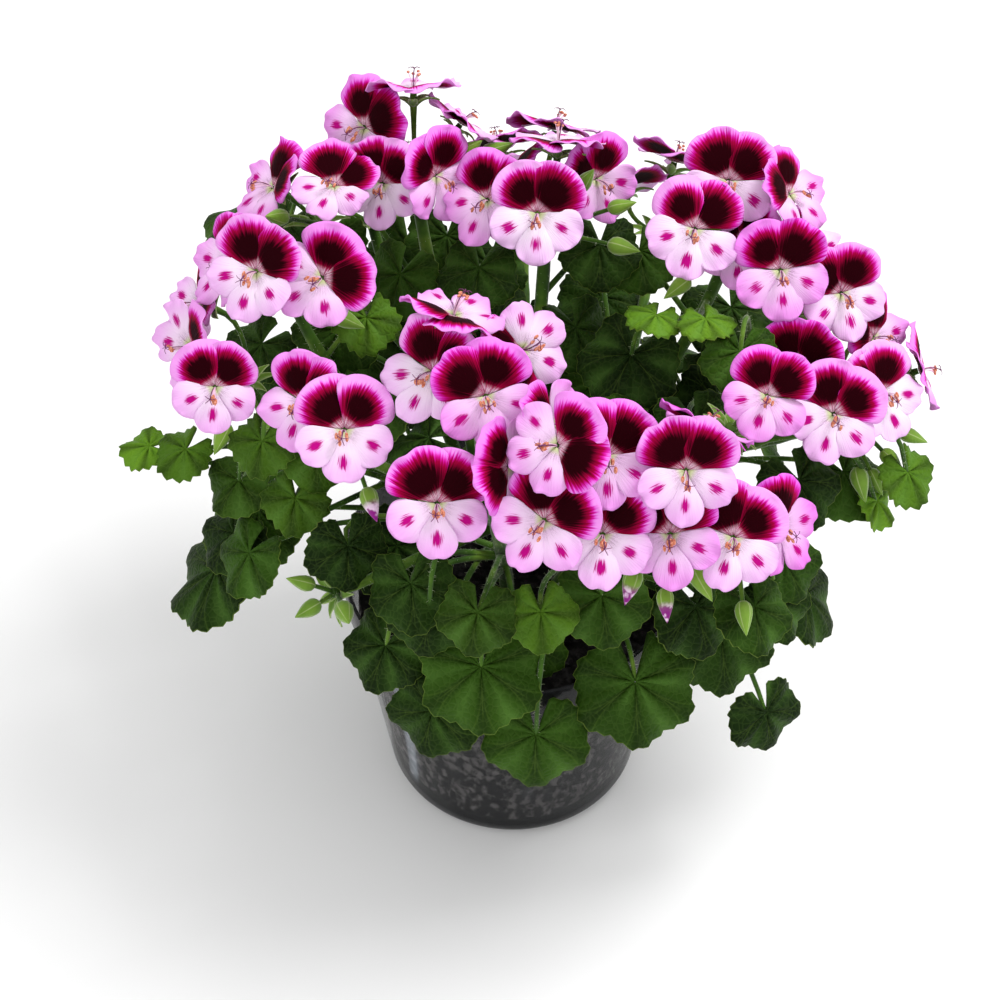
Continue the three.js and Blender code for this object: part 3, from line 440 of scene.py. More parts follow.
def aimed(azimuth, elevation):
    """Unit vectors ahead and above of what points along an azimuth and elevation."""
    a, e = math.radians(azimuth), math.radians(elevation)
    ahead = (math.sin(a) * math.cos(e), -math.cos(a) * math.cos(e), math.sin(e))
    above = (-math.sin(a) * math.sin(e), math.cos(a) * math.sin(e), math.cos(e))
    return np.array(ahead), np.array(above)


class Curve:
    """A Bezier curve whose points are spaced by its length."""

    def __init__(self, *controls):
        self.controls = [np.array(control, float) for control in controls]
        steps = np.linspace(0, 1, CURVE_STEPS + 1)
        gaps = np.linalg.norm(np.diff(self.at(steps), axis=0), axis=1)
        self.lengths = np.concatenate([[0], np.cumsum(gaps)])
        self.length = self.lengths[-1]

    def at(self, steps):
        row = [np.outer(np.ones_like(steps), control) for control in self.controls]
        share = np.asarray(steps)[:, None]
        while len(row) > 1:
            row = [first * (1 - share) + second * share for first, second in zip(row, row[1:])]
        return row[0]

    def spaced(self, shares):
        """The points at some shares of its length."""
        shares = np.atleast_1d(shares) * self.length
        return self.at(np.interp(shares, self.lengths, np.linspace(0, 1, CURVE_STEPS + 1)))

    def line(self, count):
        """That many points along it, from its start to its end."""
        return self.spaced(np.linspace(0, 1, count))


class Corners:
    """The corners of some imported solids, to tell which of them lie at a point."""

    def __init__(self, names):
        places = []
        for name in names:
            places += [(name, place) for place in places_of(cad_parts[name].data) / MM]
        self.names = [name for name, _ in places]
        self.tree = KDTree(len(places))
        for i, (_, place) in enumerate(places):
            self.tree.insert(place, i)
        self.tree.balance()

    def node_at(self, point):
        """The node with a corner at that point, or None."""
        _, index, distance = self.tree.find(point)
        return self.names[index] if distance < NEAR else None

    def ring_at(self, point, radius):
        """Whether a thin bar's ring of three corners lies round that point."""
        found = self.tree.find_range(point, radius + NEAR)
        places = {tuple(round(x, 1) for x in place)
                  for place, _, gap in found if gap > radius - NEAR}
        return len(places) >= 3

    def miss(self, point):
        """How far from a point the three corners nearest to it are centred."""
        ring = [place for place, _, _ in self.tree.find_n(point, 3)]
        return np.linalg.norm(np.mean(ring, axis=0) - point)


def stem_curve(umbel):
    x, y, z = umbel
    at = lambda out, up: (x * out, y * out, SOIL_TOP + up * (z - SOIL_TOP))
    return Curve(at(ROOT_SPREAD, 0), *(at(out, up) for out, up in STEM_BEND), at(1, 1))


def branch_curve(main, umbel):
    start = main.spaced(BRANCH_AT)[0]
    end = np.array(umbel, float)
    rise = end[2] - start[2]
    first = start + (end - start) * BRANCH_BEND["along"] + (0, 0, BRANCH_BEND["start"] * rise)
    second = end - (0, 0, BRANCH_BEND["end"] * rise)
    return Curve(start, first, second, end)


def drawn_bars(name, lines, corners=2):
    """Round bars as one mesh: each line is its points in millimetres and a radius at each."""
    curve = bpy.data.curves.new(name, "CURVE")
    curve.dimensions = "3D"
    curve.bevel_depth = MM
    curve.bevel_resolution = corners
    curve.use_fill_caps = True
    for points, radii in lines:
        spline = curve.splines.new("POLY")
        spline.points.add(len(points) - 1)
        spline.points.foreach_set("co", np.c_[points * MM, np.ones(len(points))].ravel())
        spline.points.foreach_set("radius", radii)
    alone(placed(name, curve))
    bpy.ops.object.convert(target="MESH")
    bpy.ops.object.shade_smooth()
    return bpy.context.object


# The stems in the compost, each with its flower heads: the first head ends the stem and the
# others branch off it. A head has its name, the point where its flower stalks meet, its open
# blooms and its buds. A bloom is the throat's x, y, z, the azimuth and elevation that it
# faces, its roll and its size. A bud is its stalk's azimuth, elevation and length.
STEMS = {
    "centre": [
        ("centre", (-14, -10, 222),
         [(-10, -38, 244, 0, 45, -15, 1), (-28, -30, 246, -35, 45, 0, 1),
          (4, -12, 240, 40, 40, -100, 0.95), (-20, -5, 254, 150, 60, 0, 1)],
         []),
        ("left_near", (-60, -12, 204),
         [(-58, -36, 226, 0, 50, 0, 1), (-74, -19, 221, -30, 40, 0, 0.95)],
         [(30, 45, 22), (20, -20, 24)]),
        ("low_left", (-66, -42, 146),
         [],
         [(-40, 15, 9), (15, 25, 11), (-80, 35, 9)]),
    ],
    "front": [
        ("front_left", (-8, -42, 208),
         [(-26, -68, 224, 0, 45, 0, 1), (9, -74, 222, -10, 40, 25, 1),
          (-2, -57, 226, 60, 30, -50, 0.95), (-3, -44, 238, 60, 30, -50, 0.9)],
         [(-45, -35, 18)]),
        ("front_mid", (21, -42, 206),
         [(10, -58, 238, -30, 45, 55, 0.95), (31, -60, 233, 10, 45, 10, 1),
          (29, -76, 216, 0, 40, 5, 1)],
         []),
    ],
    "front_right": [
        ("front_right", (49, -44, 200),
         [(50, -74, 214, -15, 40, -15, 1), (56, -58, 230, 5, 35, 5, 1)],
         [(5, -30, 30), (40, -40, 26), (-25, -50, 24)]),
        ("front_far_right", (77, -42, 184),
         [(73, -69, 208, 0, 45, 15, 1), (91, -61, 200, 40, 35, -15, 0.95)],
         [(5, -25, 26)]),
    ],
    "right_near": [
        ("right_near", (76, -14, 204),
         [(65, -38, 232, 150, 40, 0, 0.95), (87, -18, 224, 0, 50, 20, 0.9)],
         []),
    ],
    "left": [
        ("left", (-82, 44, 214),
         [(-68, 24, 240, 0, 45, 55, 1), (-89, 27, 240, -30, 40, 0, 1),
          (-102, 37, 232, -60, 40, 0, 0.95)],
         [(60, 0, 18)]),
        ("left_low", (-98, 22, 192),
         [(-106, -4, 213, -5, 35, 0, 0.9), (-120, 22, 208, -60, 20, 60, 1),
          (-123, 40, 212, -75, 35, 0, 1)],
         [(20, -5, 20), (-20, -15, 18)]),
    ],
    "back_left": [
        ("back_left", (-37, 92, 226),
         [(-57, 92, 252, -40, 35, 10, 1), (-37, 100, 257, 180, 55, 0, 1),
          (-26, 72, 245, 50, 20, 0, 0.95), (-18, 100, 250, 130, 40, 0, 0.8),
          (-44, 76, 243, -10, 35, 0, 0.9)],
         [(60, 40, 24), (90, 30, 28)]),
        ("back_left_low", (-74, 82, 216),
         [(-92, 84, 232, -80, 45, 0, 0.95), (-64, 74, 242, -20, 75, 0, 0.9)],
         [(-40, 40, 20), (0, 30, 22)]),
    ],
    "back": [
        ("back", (12, 72, 222),
         [(8, 51, 246, -5, 40, 0, 1), (-9, 59, 244, -35, 40, 0, 0.95),
          (32, 76, 240, 40, 25, 0, 0.9), (20, 82, 250, 170, 55, 0, 1),
          (2, 84, 248, -120, 50, 0, 0.85)],
         [(80, 30, 26), (60, 10, 26), (100, 45, 24)]),
        ("rear", (4, 112, 194),
         [(-6, 132, 214, -170, 42, 0, 1), (16, 130, 218, 165, 48, 10, 1)],
         []),
    ],
    "right": [
        ("right", (104, 46, 204),
         [(95, 34, 234, 0, 40, -5, 1), (119, 35, 222, 20, 40, 0, 0.95),
          (114, 54, 227, 70, 45, 0, 0.95)],
         [(-40, 0, 20)]),
        ("right_low", (121, 20, 180),
         [(114, -6, 202, 10, 45, 25, 1), (134, 10, 196, 40, 40, 0, 1),
          (138, 33, 204, 60, 40, 0, 0.95), (149, 33, 184, 95, 20, 0, 0.9),
          (103, 6, 212, -20, 40, 0, 0.9)],
         [(60, -35, 22), (45, -50, 26), (80, -20, 24), (20, -40, 22)]),
    ],
    "right_back": [
        ("right_back", (80, 62, 222),
         [(64, 44, 245, -5, 45, 10, 1), (77, 62, 252, 0, 45, 10, 1),
          (94, 66, 244, 65, 45, 0, 0.9), (86, 52, 240, -20, 40, -10, 0.9)],
         [(150, 60, 26), (-50, -10, 20)]),
        ("rear_right", (56, 106, 190),
         [(64, 128, 210, 160, 42, 0, 1), (44, 130, 202, -175, 36, 0, 0.95)],
         [(120, 15, 22)]),
    ],
    "rear_left": [
        ("rear_left", (-56, 114, 188),
         [(-66, 134, 206, -155, 40, 0, 1), (-42, 136, 204, 175, 38, -10, 0.95)],
         [(-110, 20, 22)]),
    ],
}

leafy = Corners([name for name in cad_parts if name.startswith("leafy_stem")])
heads = []
bars = {}
for stem, own_heads in STEMS.items():
    node = f"leafy_stem_{stem}"
    main = stem_curve(own_heads[0][1])
    bars[node] = []
    for rank, (name, umbel, open_blooms, own_buds) in enumerate(own_heads):
        curve = branch_curve(main, umbel) if rank else main
        base = curve.spaced(1 - STALK_INSET / curve.length)[0]
        points = curve.line(STEM_POINTS + 1)
        heads.append({"name": name, "umbel": umbel, "blooms": open_blooms, "buds": own_buds,
                      "node": node, "base": base, "points": points})
        radius = BRANCH_RADIUS if rank else STEM_RADIUS
        line = points[::3] if rank else np.vstack([points[0] - (0, 0, ROOT_DEPTH), points[::3]])
        radii = radius * np.linspace(1, STEM_TAPER, len(line))
        joint = 1 + STEM_SWELL * np.array([draw(len(heads), 70 + i) for i in range(len(line))])
        bars[node].append((line, radii * joint))


# Flower stalks and calyxes: each stalk springs from a ring of bracts at its head's end, bends
# over and opens into five pointed sepals behind the petals. All are pale green and hairy.
STALK_RADIUS = 1
STALK_SWELL = [1, 0.95, 0.92, 0.9, 0.9, 0.92, 0.98, 1.1, 1.35, 1.5, 1.25]
CALYX_BACK = 10
THROAT_DEPTH = 3.6
PETAL_THICKNESS = 0.84
BLOOM_AHEAD = [-12.5, -10, -7.5, -5, -2.5, 0, 2.5, 5, 7.5, 10, 12.5]
BLOOM_ASIDE = [-8, -4, 0, 4, 8]
SIDEWAYS_COST = 1.5
STALK_BENDS = [0.45, 0.6, 0.3, 0.75, 0.15, 0.9]
SEPALS = 5
SEPAL = {"length": 9.6, "width": 3.8, "spread": 0.78, "cup": 0.9}
BRACTS = 9
BRACT_LENGTH = 10.5
BRACT_SPREAD = 0.75
SEPAL_WALL = 0.35


def turned_frame(azimuth, elevation, roll, size):
    """A bloom's axes as columns: its right, its top and the way that it faces."""
    ahead, above = aimed(azimuth, elevation)
    basis = np.column_stack([np.cross(above, ahead), above, ahead])
    turn = math.radians(-roll)
    spin = np.array([[math.cos(turn), -math.sin(turn), 0], [math.sin(turn), math.cos(turn), 0],
                     [0, 0, 1]])
    return basis @ spin * size


def blank(columns, rows):
    """A flat sheet as a mesh, with a map across and along it, for pressing into shape."""
    bpy.ops.object.select_all(action="DESELECT")
    bpy.ops.mesh.primitive_grid_add(x_subdivisions=columns, y_subdivisions=rows, size=2)
    sheet = bpy.context.object
    mesh = sheet.data
    flat = places_of(mesh)
    bpy.data.objects.remove(sheet)
    return mesh, flat[:, 0], (flat[:, 1] + 1) / 2


def pressed(mesh, points, chart=None, **traits):
    """A copy of a blank with its points in place, in millimetres, and numbers at each point.

    The chart, if there is one, is the two coordinates of the map at each point.
    """
    copy = mesh.copy()
    copy.vertices.foreach_set("co", (np.asarray(points) * MM).ravel())
    if chart:
        loops = np.empty(len(copy.loops), int)
        copy.loops.foreach_get("vertex_index", loops)
        copy.uv_layers["UVMap"].data.foreach_set("uv", np.column_stack(chart)[loops].ravel())
    for name, value in traits.items():
        layer = copy.attributes.new(name, "FLOAT", "POINT")
        layer.data.foreach_set("value", np.broadcast_to(value, len(copy.vertices)).astype(float))
    return placed("sheet", copy)


def joined(name, pieces, thickness=0):
    """One piece from several, with a wall of that thickness in millimetres if one is given."""
    whole = merged(pieces)
    whole.name = name
    whole.data.name = name
    if thickness:
        wall = whole.modifiers.new("wall", "SOLIDIFY")
        wall.thickness = thickness * MM
        wall.offset = 0
        bpy.ops.object.modifier_apply(modifier=wall.name)
    bpy.ops.object.shade_smooth()
    return whole


petal_corners = Corners([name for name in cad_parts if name.startswith("petals")])
shifts = sorted(
    ((ahead, aside, rise)
     for ahead in BLOOM_AHEAD for aside in BLOOM_ASIDE for rise in BLOOM_ASIDE),
    key=lambda shift: math.hypot(shift[0], SIDEWAYS_COST * shift[1], SIDEWAYS_COST * shift[2]))
blooms = []
for item, (head, bloom) in enumerate((head, bloom) for head in heads for bloom in head["blooms"]):
    x, y, z, azimuth, elevation, roll, size = bloom
    ahead, above = aimed(azimuth, elevation)
    axes = turned_frame(azimuth, elevation, roll, size)
    throat = ahead * size * (PETAL_THICKNESS / 2 - THROAT_DEPTH)
    for forward, aside, rise in shifts:
        centre = (x, y, z) + forward * ahead + aside * np.cross(above, ahead) + rise * above
        node = petal_corners.node_at(centre + throat)
        if node:
            break
    else:
        continue
    end = centre - ahead * CALYX_BACK * size
    for bend in STALK_BENDS:
        control = end - ahead * bend * np.linalg.norm(end - head["base"])
        way = control - head["base"]
        start = head["base"] + way * STALK_SPREAD / np.linalg.norm(way)
        curve = Curve(start, control, end)
        if leafy.ring_at(curve.spaced(0.5)[0], STALK_RADIUS):
            break
    points = curve.line(len(STALK_SWELL) - 2)
    tip = centre - ahead * (THROAT_DEPTH + 0.4) * size
    points = np.vstack([points, (points[-1] + tip) / 2, tip])
    bars[head["node"]].append((points, np.array(STALK_SWELL) * STALK_RADIUS * size ** 0.5))
    blooms.append({"item": item, "node": node, "stem": head["node"], "centre": centre,
                   "axes": axes, "head": head["name"]})

sepal_sheet, sepal_across, sepal_along = blank(4, 7)


def pointed_leaf(foot, axes, turn, length, spread, number):
    """A sepal or bract that leans out from its foot on the end of a stalk."""
    lean = np.array([math.sin(turn), math.cos(turn), 0])
    side = np.array([math.cos(turn), -math.sin(turn), 0])
    half = SEPAL["width"] / 2 * np.sin(np.pi * (0.16 + 0.84 * sepal_along ** 0.8)) + 0.05
    out = 1.1 + length * (spread * sepal_along + (1 - spread) * sepal_along ** 2)
    lift = length * (1 - spread) * (sepal_along - sepal_along ** 2.4)
    height = (lift * 1.6 + 2.4 * sepal_along
              + SEPAL["cup"] * (sepal_across ** 2 - 0.4) * (1 - 0.5 * sepal_along))
    points = (np.outer(out, lean) + np.outer(half * sepal_across, side)
              + np.outer(height, (0, 0, 1)))
    return pressed(sepal_sheet, points @ axes.T + foot, young=0.35 + 0.4 * draw(number, 83))


sepals = {node: [] for node in bars}
for bloom in blooms:
    foot = bloom["centre"] + bloom["axes"] @ (0, 0, 1.2 - CALYX_BACK)
    for i in range(SEPALS):
        number = bloom["item"] * SEPALS + i
        turn = 2 * math.pi * (i + 0.16 * (draw(number, 80) - 0.5)) / SEPALS
        length = SEPAL["length"] * (0.88 + 0.24 * draw(number, 81))
        spread = SEPAL["spread"] * (0.75 + 0.45 * draw(number, 82))
        sepals[bloom["stem"]].append(
            pointed_leaf(foot, bloom["axes"], turn, length, spread, number))
for rank, head in enumerate(heads):
    way = head["points"][-1] - head["points"][-4]
    upward = way / np.linalg.norm(way)
    aside = np.cross((0, 1, 0), upward)
    aside /= np.linalg.norm(aside)
    axes = np.column_stack([aside, np.cross(upward, aside), upward])
    for i in range(BRACTS):
        number = (rank + 100) * BRACTS + i
        turn = 2 * math.pi * (i + 0.5 * draw(number, 84)) / BRACTS
        length = BRACT_LENGTH * (0.8 + 0.4 * draw(number, 85))
        sepals[head["node"]].append(
            pointed_leaf(head["base"] - upward * 1.5, axes, turn, length, BRACT_SPREAD,
                         number))


# Buds: closed green ovals with a pointed tip and five ribs, where the sepals meet, on hairy
# stalks. A few are about to open and show the folded petals at their tips.
BUD_LENGTH = 13
BUD_RADIUS = 3
BUD_PLUMPNESS = 1.22
BUD_RIB = 0.1
BUD_STALK_POINTS = 6
BUD_TRIES = 12
BUD_SWING = (6, 4)
OPENING_BUDS = {("front_right", 0), ("front_right", 2), ("left_near", 1)}

bpy.ops.mesh.primitive_uv_sphere_add(segments=10, ring_count=9, radius=1)
oval = bpy.context.object
oval_mesh = oval.data
ball = places_of(oval_mesh)
bpy.data.objects.remove(oval)

buds = {node: [] for node in bars}
stalk_shares = np.linspace(0, 1, BUD_STALK_POINTS)
bud_list = [(head, number, bud) for head in heads for number, bud in enumerate(head["buds"])]
for item, (head, number, (azimuth, elevation, stalk)) in enumerate(bud_list):
    for attempt in range(BUD_TRIES):
        ahead, above = aimed(azimuth + BUD_SWING[0] * swing(item, attempt, 60),
                             elevation + BUD_SWING[1] * swing(item, attempt, 61))
        start = head["base"] + ahead * STALK_SPREAD
        if leafy.node_at(start + ahead * (stalk + BUD_LENGTH)):
            break
    else:
        continue
    size = 0.86 + 0.22 * draw(item, 90)
    share = (ball[:, 2] + 1) / 2
    turn = np.arctan2(ball[:, 1], ball[:, 0])
    radius = BUD_RADIUS * np.sin(np.pi * share ** 0.62) ** 0.85 * (1 - 0.25 * share)
    radius = radius * size * (1 + BUD_RIB * np.cos(SEPALS * turn)) * BUD_PLUMPNESS
    bend = 0.9 * share ** 2 * (draw(item, 91) - 0.2)
    side = np.cross(above, ahead)
    points = (start + np.outer(stalk - 0.4 + (BUD_LENGTH + 0.4) * share * size, ahead)
              + np.outer(radius * np.cos(turn), side)
              + np.outer(radius * np.sin(turn) - bend, above))
    opening = 1.0 if (head["name"], number) in OPENING_BUDS else 0.0
    buds[head["node"]].append(pressed(oval_mesh, points, young=0.4 + 0.5 * draw(item, 92),
                                      petal=np.clip((share - 0.5) / 0.1, 0, 1) * opening))
    points = start + np.outer(stalk_shares * stalk, ahead)
    bars[head["node"]].append((points, np.linspace(0.95, 0.8, BUD_STALK_POINTS)))


# Leaves: each is a round fan, pleated along the veins that spread from its petiole, with
# shallow lobes and small pointed teeth. Their blades are thin, matt and darker with age.
LEAF_RIMS = [(41, 13), (27, 11), (0, 9)]
LEAF_SPAN = 324
LEAF_TIP = 0.55
LEAF_BACK = 0.16
LEAF_TOOTH = 0.032
LEAF_LOBE = 0.03
LEAF_DROOP = 0.1
LEAF_PLEAT = 1.15
LEAF_THICKNESS = 0.84
BLADE_THICKNESS = 0.5
SMALL_TOOTH = 0.042
VEIN_GROOVE = 0.7
VEIN_WIDTH = 0.15
LEAF_BULGE = 0.8
LEAF_CUP = 0.07
LEAF_WAVE = 0.035
WAVE_STARTS = 6.28
SMALL_LEAF = 26
YOUNG_LEAF = 27
PETIOLE_RADIUS = 1.2
PETIOLE_POINTS = 12
HEART = 0.012
RINGS = 9
LEAF_TRIES = 60
LEAF_SWING = (3, 2, 2)
PETIOLE_STARTS = 6
PETIOLE_DROPS = (20, 36)
PETIOLE_ABOVE_SOIL = (8, 26)
PETIOLE_BELOW_HEAD = (12, 14)
PETIOLE_RISE = 2
PETIOLE_ARCHES = [(0.3, 0.3, 0), (0, 0.3, 0.5), (0, 0.1, 0.9)]
GOLDEN_RATIO = 0.618034
INNER_DOME = {"centre": (0, 2, 112), "radii": (56, 50, 74), "count": 8, "sector": (0, 360),
              "heights": (8, 74), "width": 36, "number": 40}
REAR_DOME = {"centre": (4, 10, 100), "radii": (112, 100, 100), "count": 18, "sector": (75, 285),
             "heights": (6, 66), "width": 40, "number": 41}
DOME_TILT = (0.55, -50)


# Leaves that the viewer sees: the petiole's end x, y, z, the azimuth and elevation in
# which the leaf's tip points, and the leaf's width.
SEEN_LEAVES = [
    [8, -76, 106, -3, -58, 38], [-10, -62, 135, -5, -45, 44], [-30, -70, 112, -25, -60, 34],
    [44, -64, 122, 5, -45, 44], [-47, -52, 128, -30, -45, 32], [76, -50, 128, 20, -42, 42],
    [76, -62, 102, 10, -55, 24], [94, -60, 98, 30, -65, 30], [-113, -9, 120, -80, -35, 44],
    [-135, 10, 168, -90, -5, 20], [-120, 4, 172, -50, -15, 22], [-79, -19, 172, -10, -40, 24],
    [43, 30, 196, -30, -25, 38], [76, 19, 208, 0, -35, 28], [51, 30, 216, -30, 10, 20],
    [64, 28, 218, 30, 10, 20], [32, 69, 215, 0, -30, 30], [94, -46, 146, 35, -42, 28],
    [9, -66, 165, 5, -45, 26], [-13, -67, 166, -15, -45, 28], [125, 6, 158, 30, -25, 34],
    [137, 9, 158, 65, -30, 24], [136, 2, 150, 50, -50, 20], [-54, 37, 208, 0, -30, 24],
    [-13, 67, 205, -10, -25, 30], [42, 10, 180, 0, -35, 34], [-107, 95, 205, -120, -20, 26],
    [-104, -12, 144, -55, -40, 30], [-101, -5, 166, -45, -30, 26], [-66, -12, 190, -10, -35, 26],
    [-88, -5, 188, -30, -30, 24], [-92, -20, 150, -40, -40, 30], [-66, -34, 160, -20, -45, 30],
    [-46, -42, 165, -20, -40, 32], [-30, -57, 155, -15, -50, 30], [27, -58, 150, 5, -50, 34],
    [63, -49, 150, 15, -45, 34], [80, -53, 155, 15, -45, 30], [97, -38, 160, 35, -38, 28],
    [-74, 46, 190, -20, -30, 32], [-43, 77, 200, -10, -30, 32], [17, 54, 185, 0, -40, 32],
    [67, 2, 185, 10, -35, 32], [104, -7, 168, 30, -35, 32], [47, 71, 210, 10, -25, 30],
    [-30, 60, 162, -10, -40, 40], [2, 76, 158, 0, -35, 42], [34, 62, 150, 5, -40, 42],
    [64, 48, 158, 10, -40, 40], [88, 34, 172, 20, -35, 36], [-62, 66, 166, -20, -30, 40],
    [-92, 14, 172, -40, -30, 34], [84, 74, 178, 20, -20, 40], [12, -28, 138, 0, -40, 34],
    [22, 96, 138, 5, -30, 44], [-54, 80, 142, -20, -30, 42], [-84, 48, 148, -40, -30, 40],
    [-38, 48, 172, -10, -25, 34], [-38, 30, 148, 0, -30, 34], [36, 90, 170, 10, -25, 36],
    [-26, 104, 188, 0, -35, 34], [-44, 108, 180, -10, -40, 34], [-66, 112, 186, -20, -40, 32],
    [-88, 108, 192, -40, -30, 30], [-10, 90, 186, 0, -35, 30], [-96, 56, 176, -50, -30, 30],
]


def dome_leaves(dome):
    """The leaves that lie over a dome, spread round it by the golden ratio."""
    lowest, highest = (math.sin(math.radians(height)) for height in dome["heights"])
    first, last = dome["sector"]
    for i in range(dome["count"]):
        share = (i + 0.5) / dome["count"]
        rise = lowest * (1 - share) + highest * share
        flat = math.sqrt(1 - rise * rise)
        azimuth = first + (last - first) * (i * GOLDEN_RATIO % 1)
        turn = math.radians(azimuth)
        way = (flat * math.sin(turn), -flat * math.cos(turn), rise)
        place = np.array(dome["centre"]) + np.array(dome["radii"]) * way
        elevation = DOME_TILT[0] * math.degrees(math.asin(rise)) + DOME_TILT[1]
        yield (*place, azimuth, elevation, dome["width"] * (0.85 + 0.3 * draw(i, dome["number"])))


def leaf_axes(azimuth, elevation, twist):
    """A leaf's axes as columns: its right, the way that its tip points, and its upper side."""
    ahead, above = aimed(azimuth, elevation)
    turn = math.radians(twist)
    tilt = np.array([[math.cos(turn), 0, math.sin(turn)], [0, 1, 0],
                     [-math.sin(turn), 0, math.cos(turn)]])
    return np.column_stack([np.cross(ahead, above), ahead, above]) @ tilt


def petiole_starts(place, item):
    """The places where a leaf's petiole can leave the stems, the nearest first."""
    lowest = SOIL_TOP + PETIOLE_ABOVE_SOIL[0] + PETIOLE_ABOVE_SOIL[1] * draw(item, 58)
    under = PETIOLE_BELOW_HEAD[0] + PETIOLE_BELOW_HEAD[1] * draw(item, 59)
    starts = []
    for head in heads:
        for drop in PETIOLE_DROPS:
            height = min(max(place[2] - drop, lowest), head["umbel"][2] - under)
            start = head["points"][np.argmin(abs(head["points"][:, 2] - height))]
            starts.append((np.linalg.norm(start - place), start))
    return [start for _, start in sorted(starts, key=lambda start: start[0])[:PETIOLE_STARTS]]


def petiole_curve(place, axes, start, arch):
    """The way that a petiole takes from a stem into the heart of its blade."""
    end = place + axes @ (0, 0, LEAF_THICKNESS / 6 - PETIOLE_RADIUS * 2 / 3)
    below, behind, lift = arch
    reach = np.linalg.norm(end - start)
    control = end - axes[:, 2] * below * reach - axes[:, 1] * behind * reach
    control[2] = max(control[2], start[2] + PETIOLE_RISE) + lift * reach
    return Curve(start, control, end)


blanks = {points: blank(6 * (points - 1), RINGS) for _, points in LEAF_RIMS}


def leaf_blade(place, axes, width, item):
    """A leaf's blade: it keeps the solid's rim and pleats, and adds small teeth and veins."""
    count = next(points for least, points in LEAF_RIMS if width >= least)
    mesh, across, along = blanks[count]
    last = count - 1
    rim = np.arange(count)
    share = rim / last - 0.5
    tooth = np.where((rim - last // 2) % 2 == 0, 1, -1)
    lobes = LEAF_LOBE * np.array([draw(item, 30 + i) - 0.5 for i in rim])
    reach = LEAF_TIP - LEAF_BACK * (2 * share) ** 2 + LEAF_TOOTH * tooth + lobes
    spot = (0.5 - across / 2) * last
    low = np.minimum(spot.astype(int), last - 1)
    blend = (1 - np.cos(np.pi * (spot - low))) / 2
    out = reach[low] * (1 - blend) + reach[low + 1] * blend
    lobe = (spot - last / 2) / 2
    rising = (lobe * 4) % 1
    teeth = np.where(rising < 0.66, rising / 0.66, (1 - rising) / 0.34)
    sides = HEART + (1 - HEART) * along
    small = SMALL_TOOTH * (1.5 if width < SMALL_LEAF else 0.7)
    out = out * sides + small * (teeth - 0.4) * along ** 6
    pleat = LEAF_PLEAT * np.cos(2 * np.pi * lobe) * along ** 1.3 * (0.8 + width / 60)
    from_vein = abs(lobe - np.round(lobe))
    groove = VEIN_GROOVE * np.exp(-(from_vein / VEIN_WIDTH) ** 2) * np.sin(np.pi * along ** 0.6)
    bulge = LEAF_BULGE * abs(np.sin(2 * np.pi * lobe)) * np.sin(np.pi * along ** 0.8)
    turn = np.radians(across * LEAF_SPAN / 2)
    cup = LEAF_CUP * width * (draw(item, 93) - 0.4) * along ** 2 * np.cos(2 * turn)
    wave = LEAF_WAVE * width * np.sin(3 * turn + WAVE_STARTS * draw(item, 94)) * along ** 3
    height = pleat - groove + bulge + cup + wave - LEAF_DROOP * width * (out / LEAF_TIP) ** 2
    points = np.column_stack([out * width * np.sin(turn), out * width * np.cos(turn), height])
    young = np.clip((YOUNG_LEAF - width) / 9 + 0.5 * (draw(item, 95) - 0.4), 0, 1)
    return pressed(mesh, points @ axes.T + place, (lobe, along), young=young, tint=draw(item, 96))


leaves = {node: [] for node in bars}
leaf_list = [*dome_leaves(INNER_DOME), *SEEN_LEAVES, *dome_leaves(REAR_DOME)]
for item, (*place, azimuth, elevation, width) in enumerate(leaf_list):
    for attempt in range(LEAF_TRIES):
        spot = np.array(place) + [swing(item, attempt, number) for number in (50, 51, 52)]
        axes = leaf_axes(azimuth + LEAF_SWING[0] * swing(item, attempt, 53),
                         elevation + LEAF_SWING[1] * swing(item, attempt, 54),
                         LEAF_SWING[2] * swing(item, attempt, 55))
        node = leafy.node_at(spot + axes[:, 2] * LEAF_THICKNESS / 2)
        if node:
            break
    else:
        continue
    curves = [petiole_curve(spot, axes, start, arch)
              for start in petiole_starts(spot, item) for arch in PETIOLE_ARCHES]
    curve = min(curves, key=lambda curve: leafy.miss(curve.spaced(0.5)[0]))
    points = curve.line(PETIOLE_POINTS)
    points[-1] = spot - axes[:, 2] * 0.7
    bars[node].append((points, PETIOLE_RADIUS * np.linspace(1.05, 0.72, PETIOLE_POINTS)))
    leaves[node].append(leaf_blade(spot, axes, width, item))

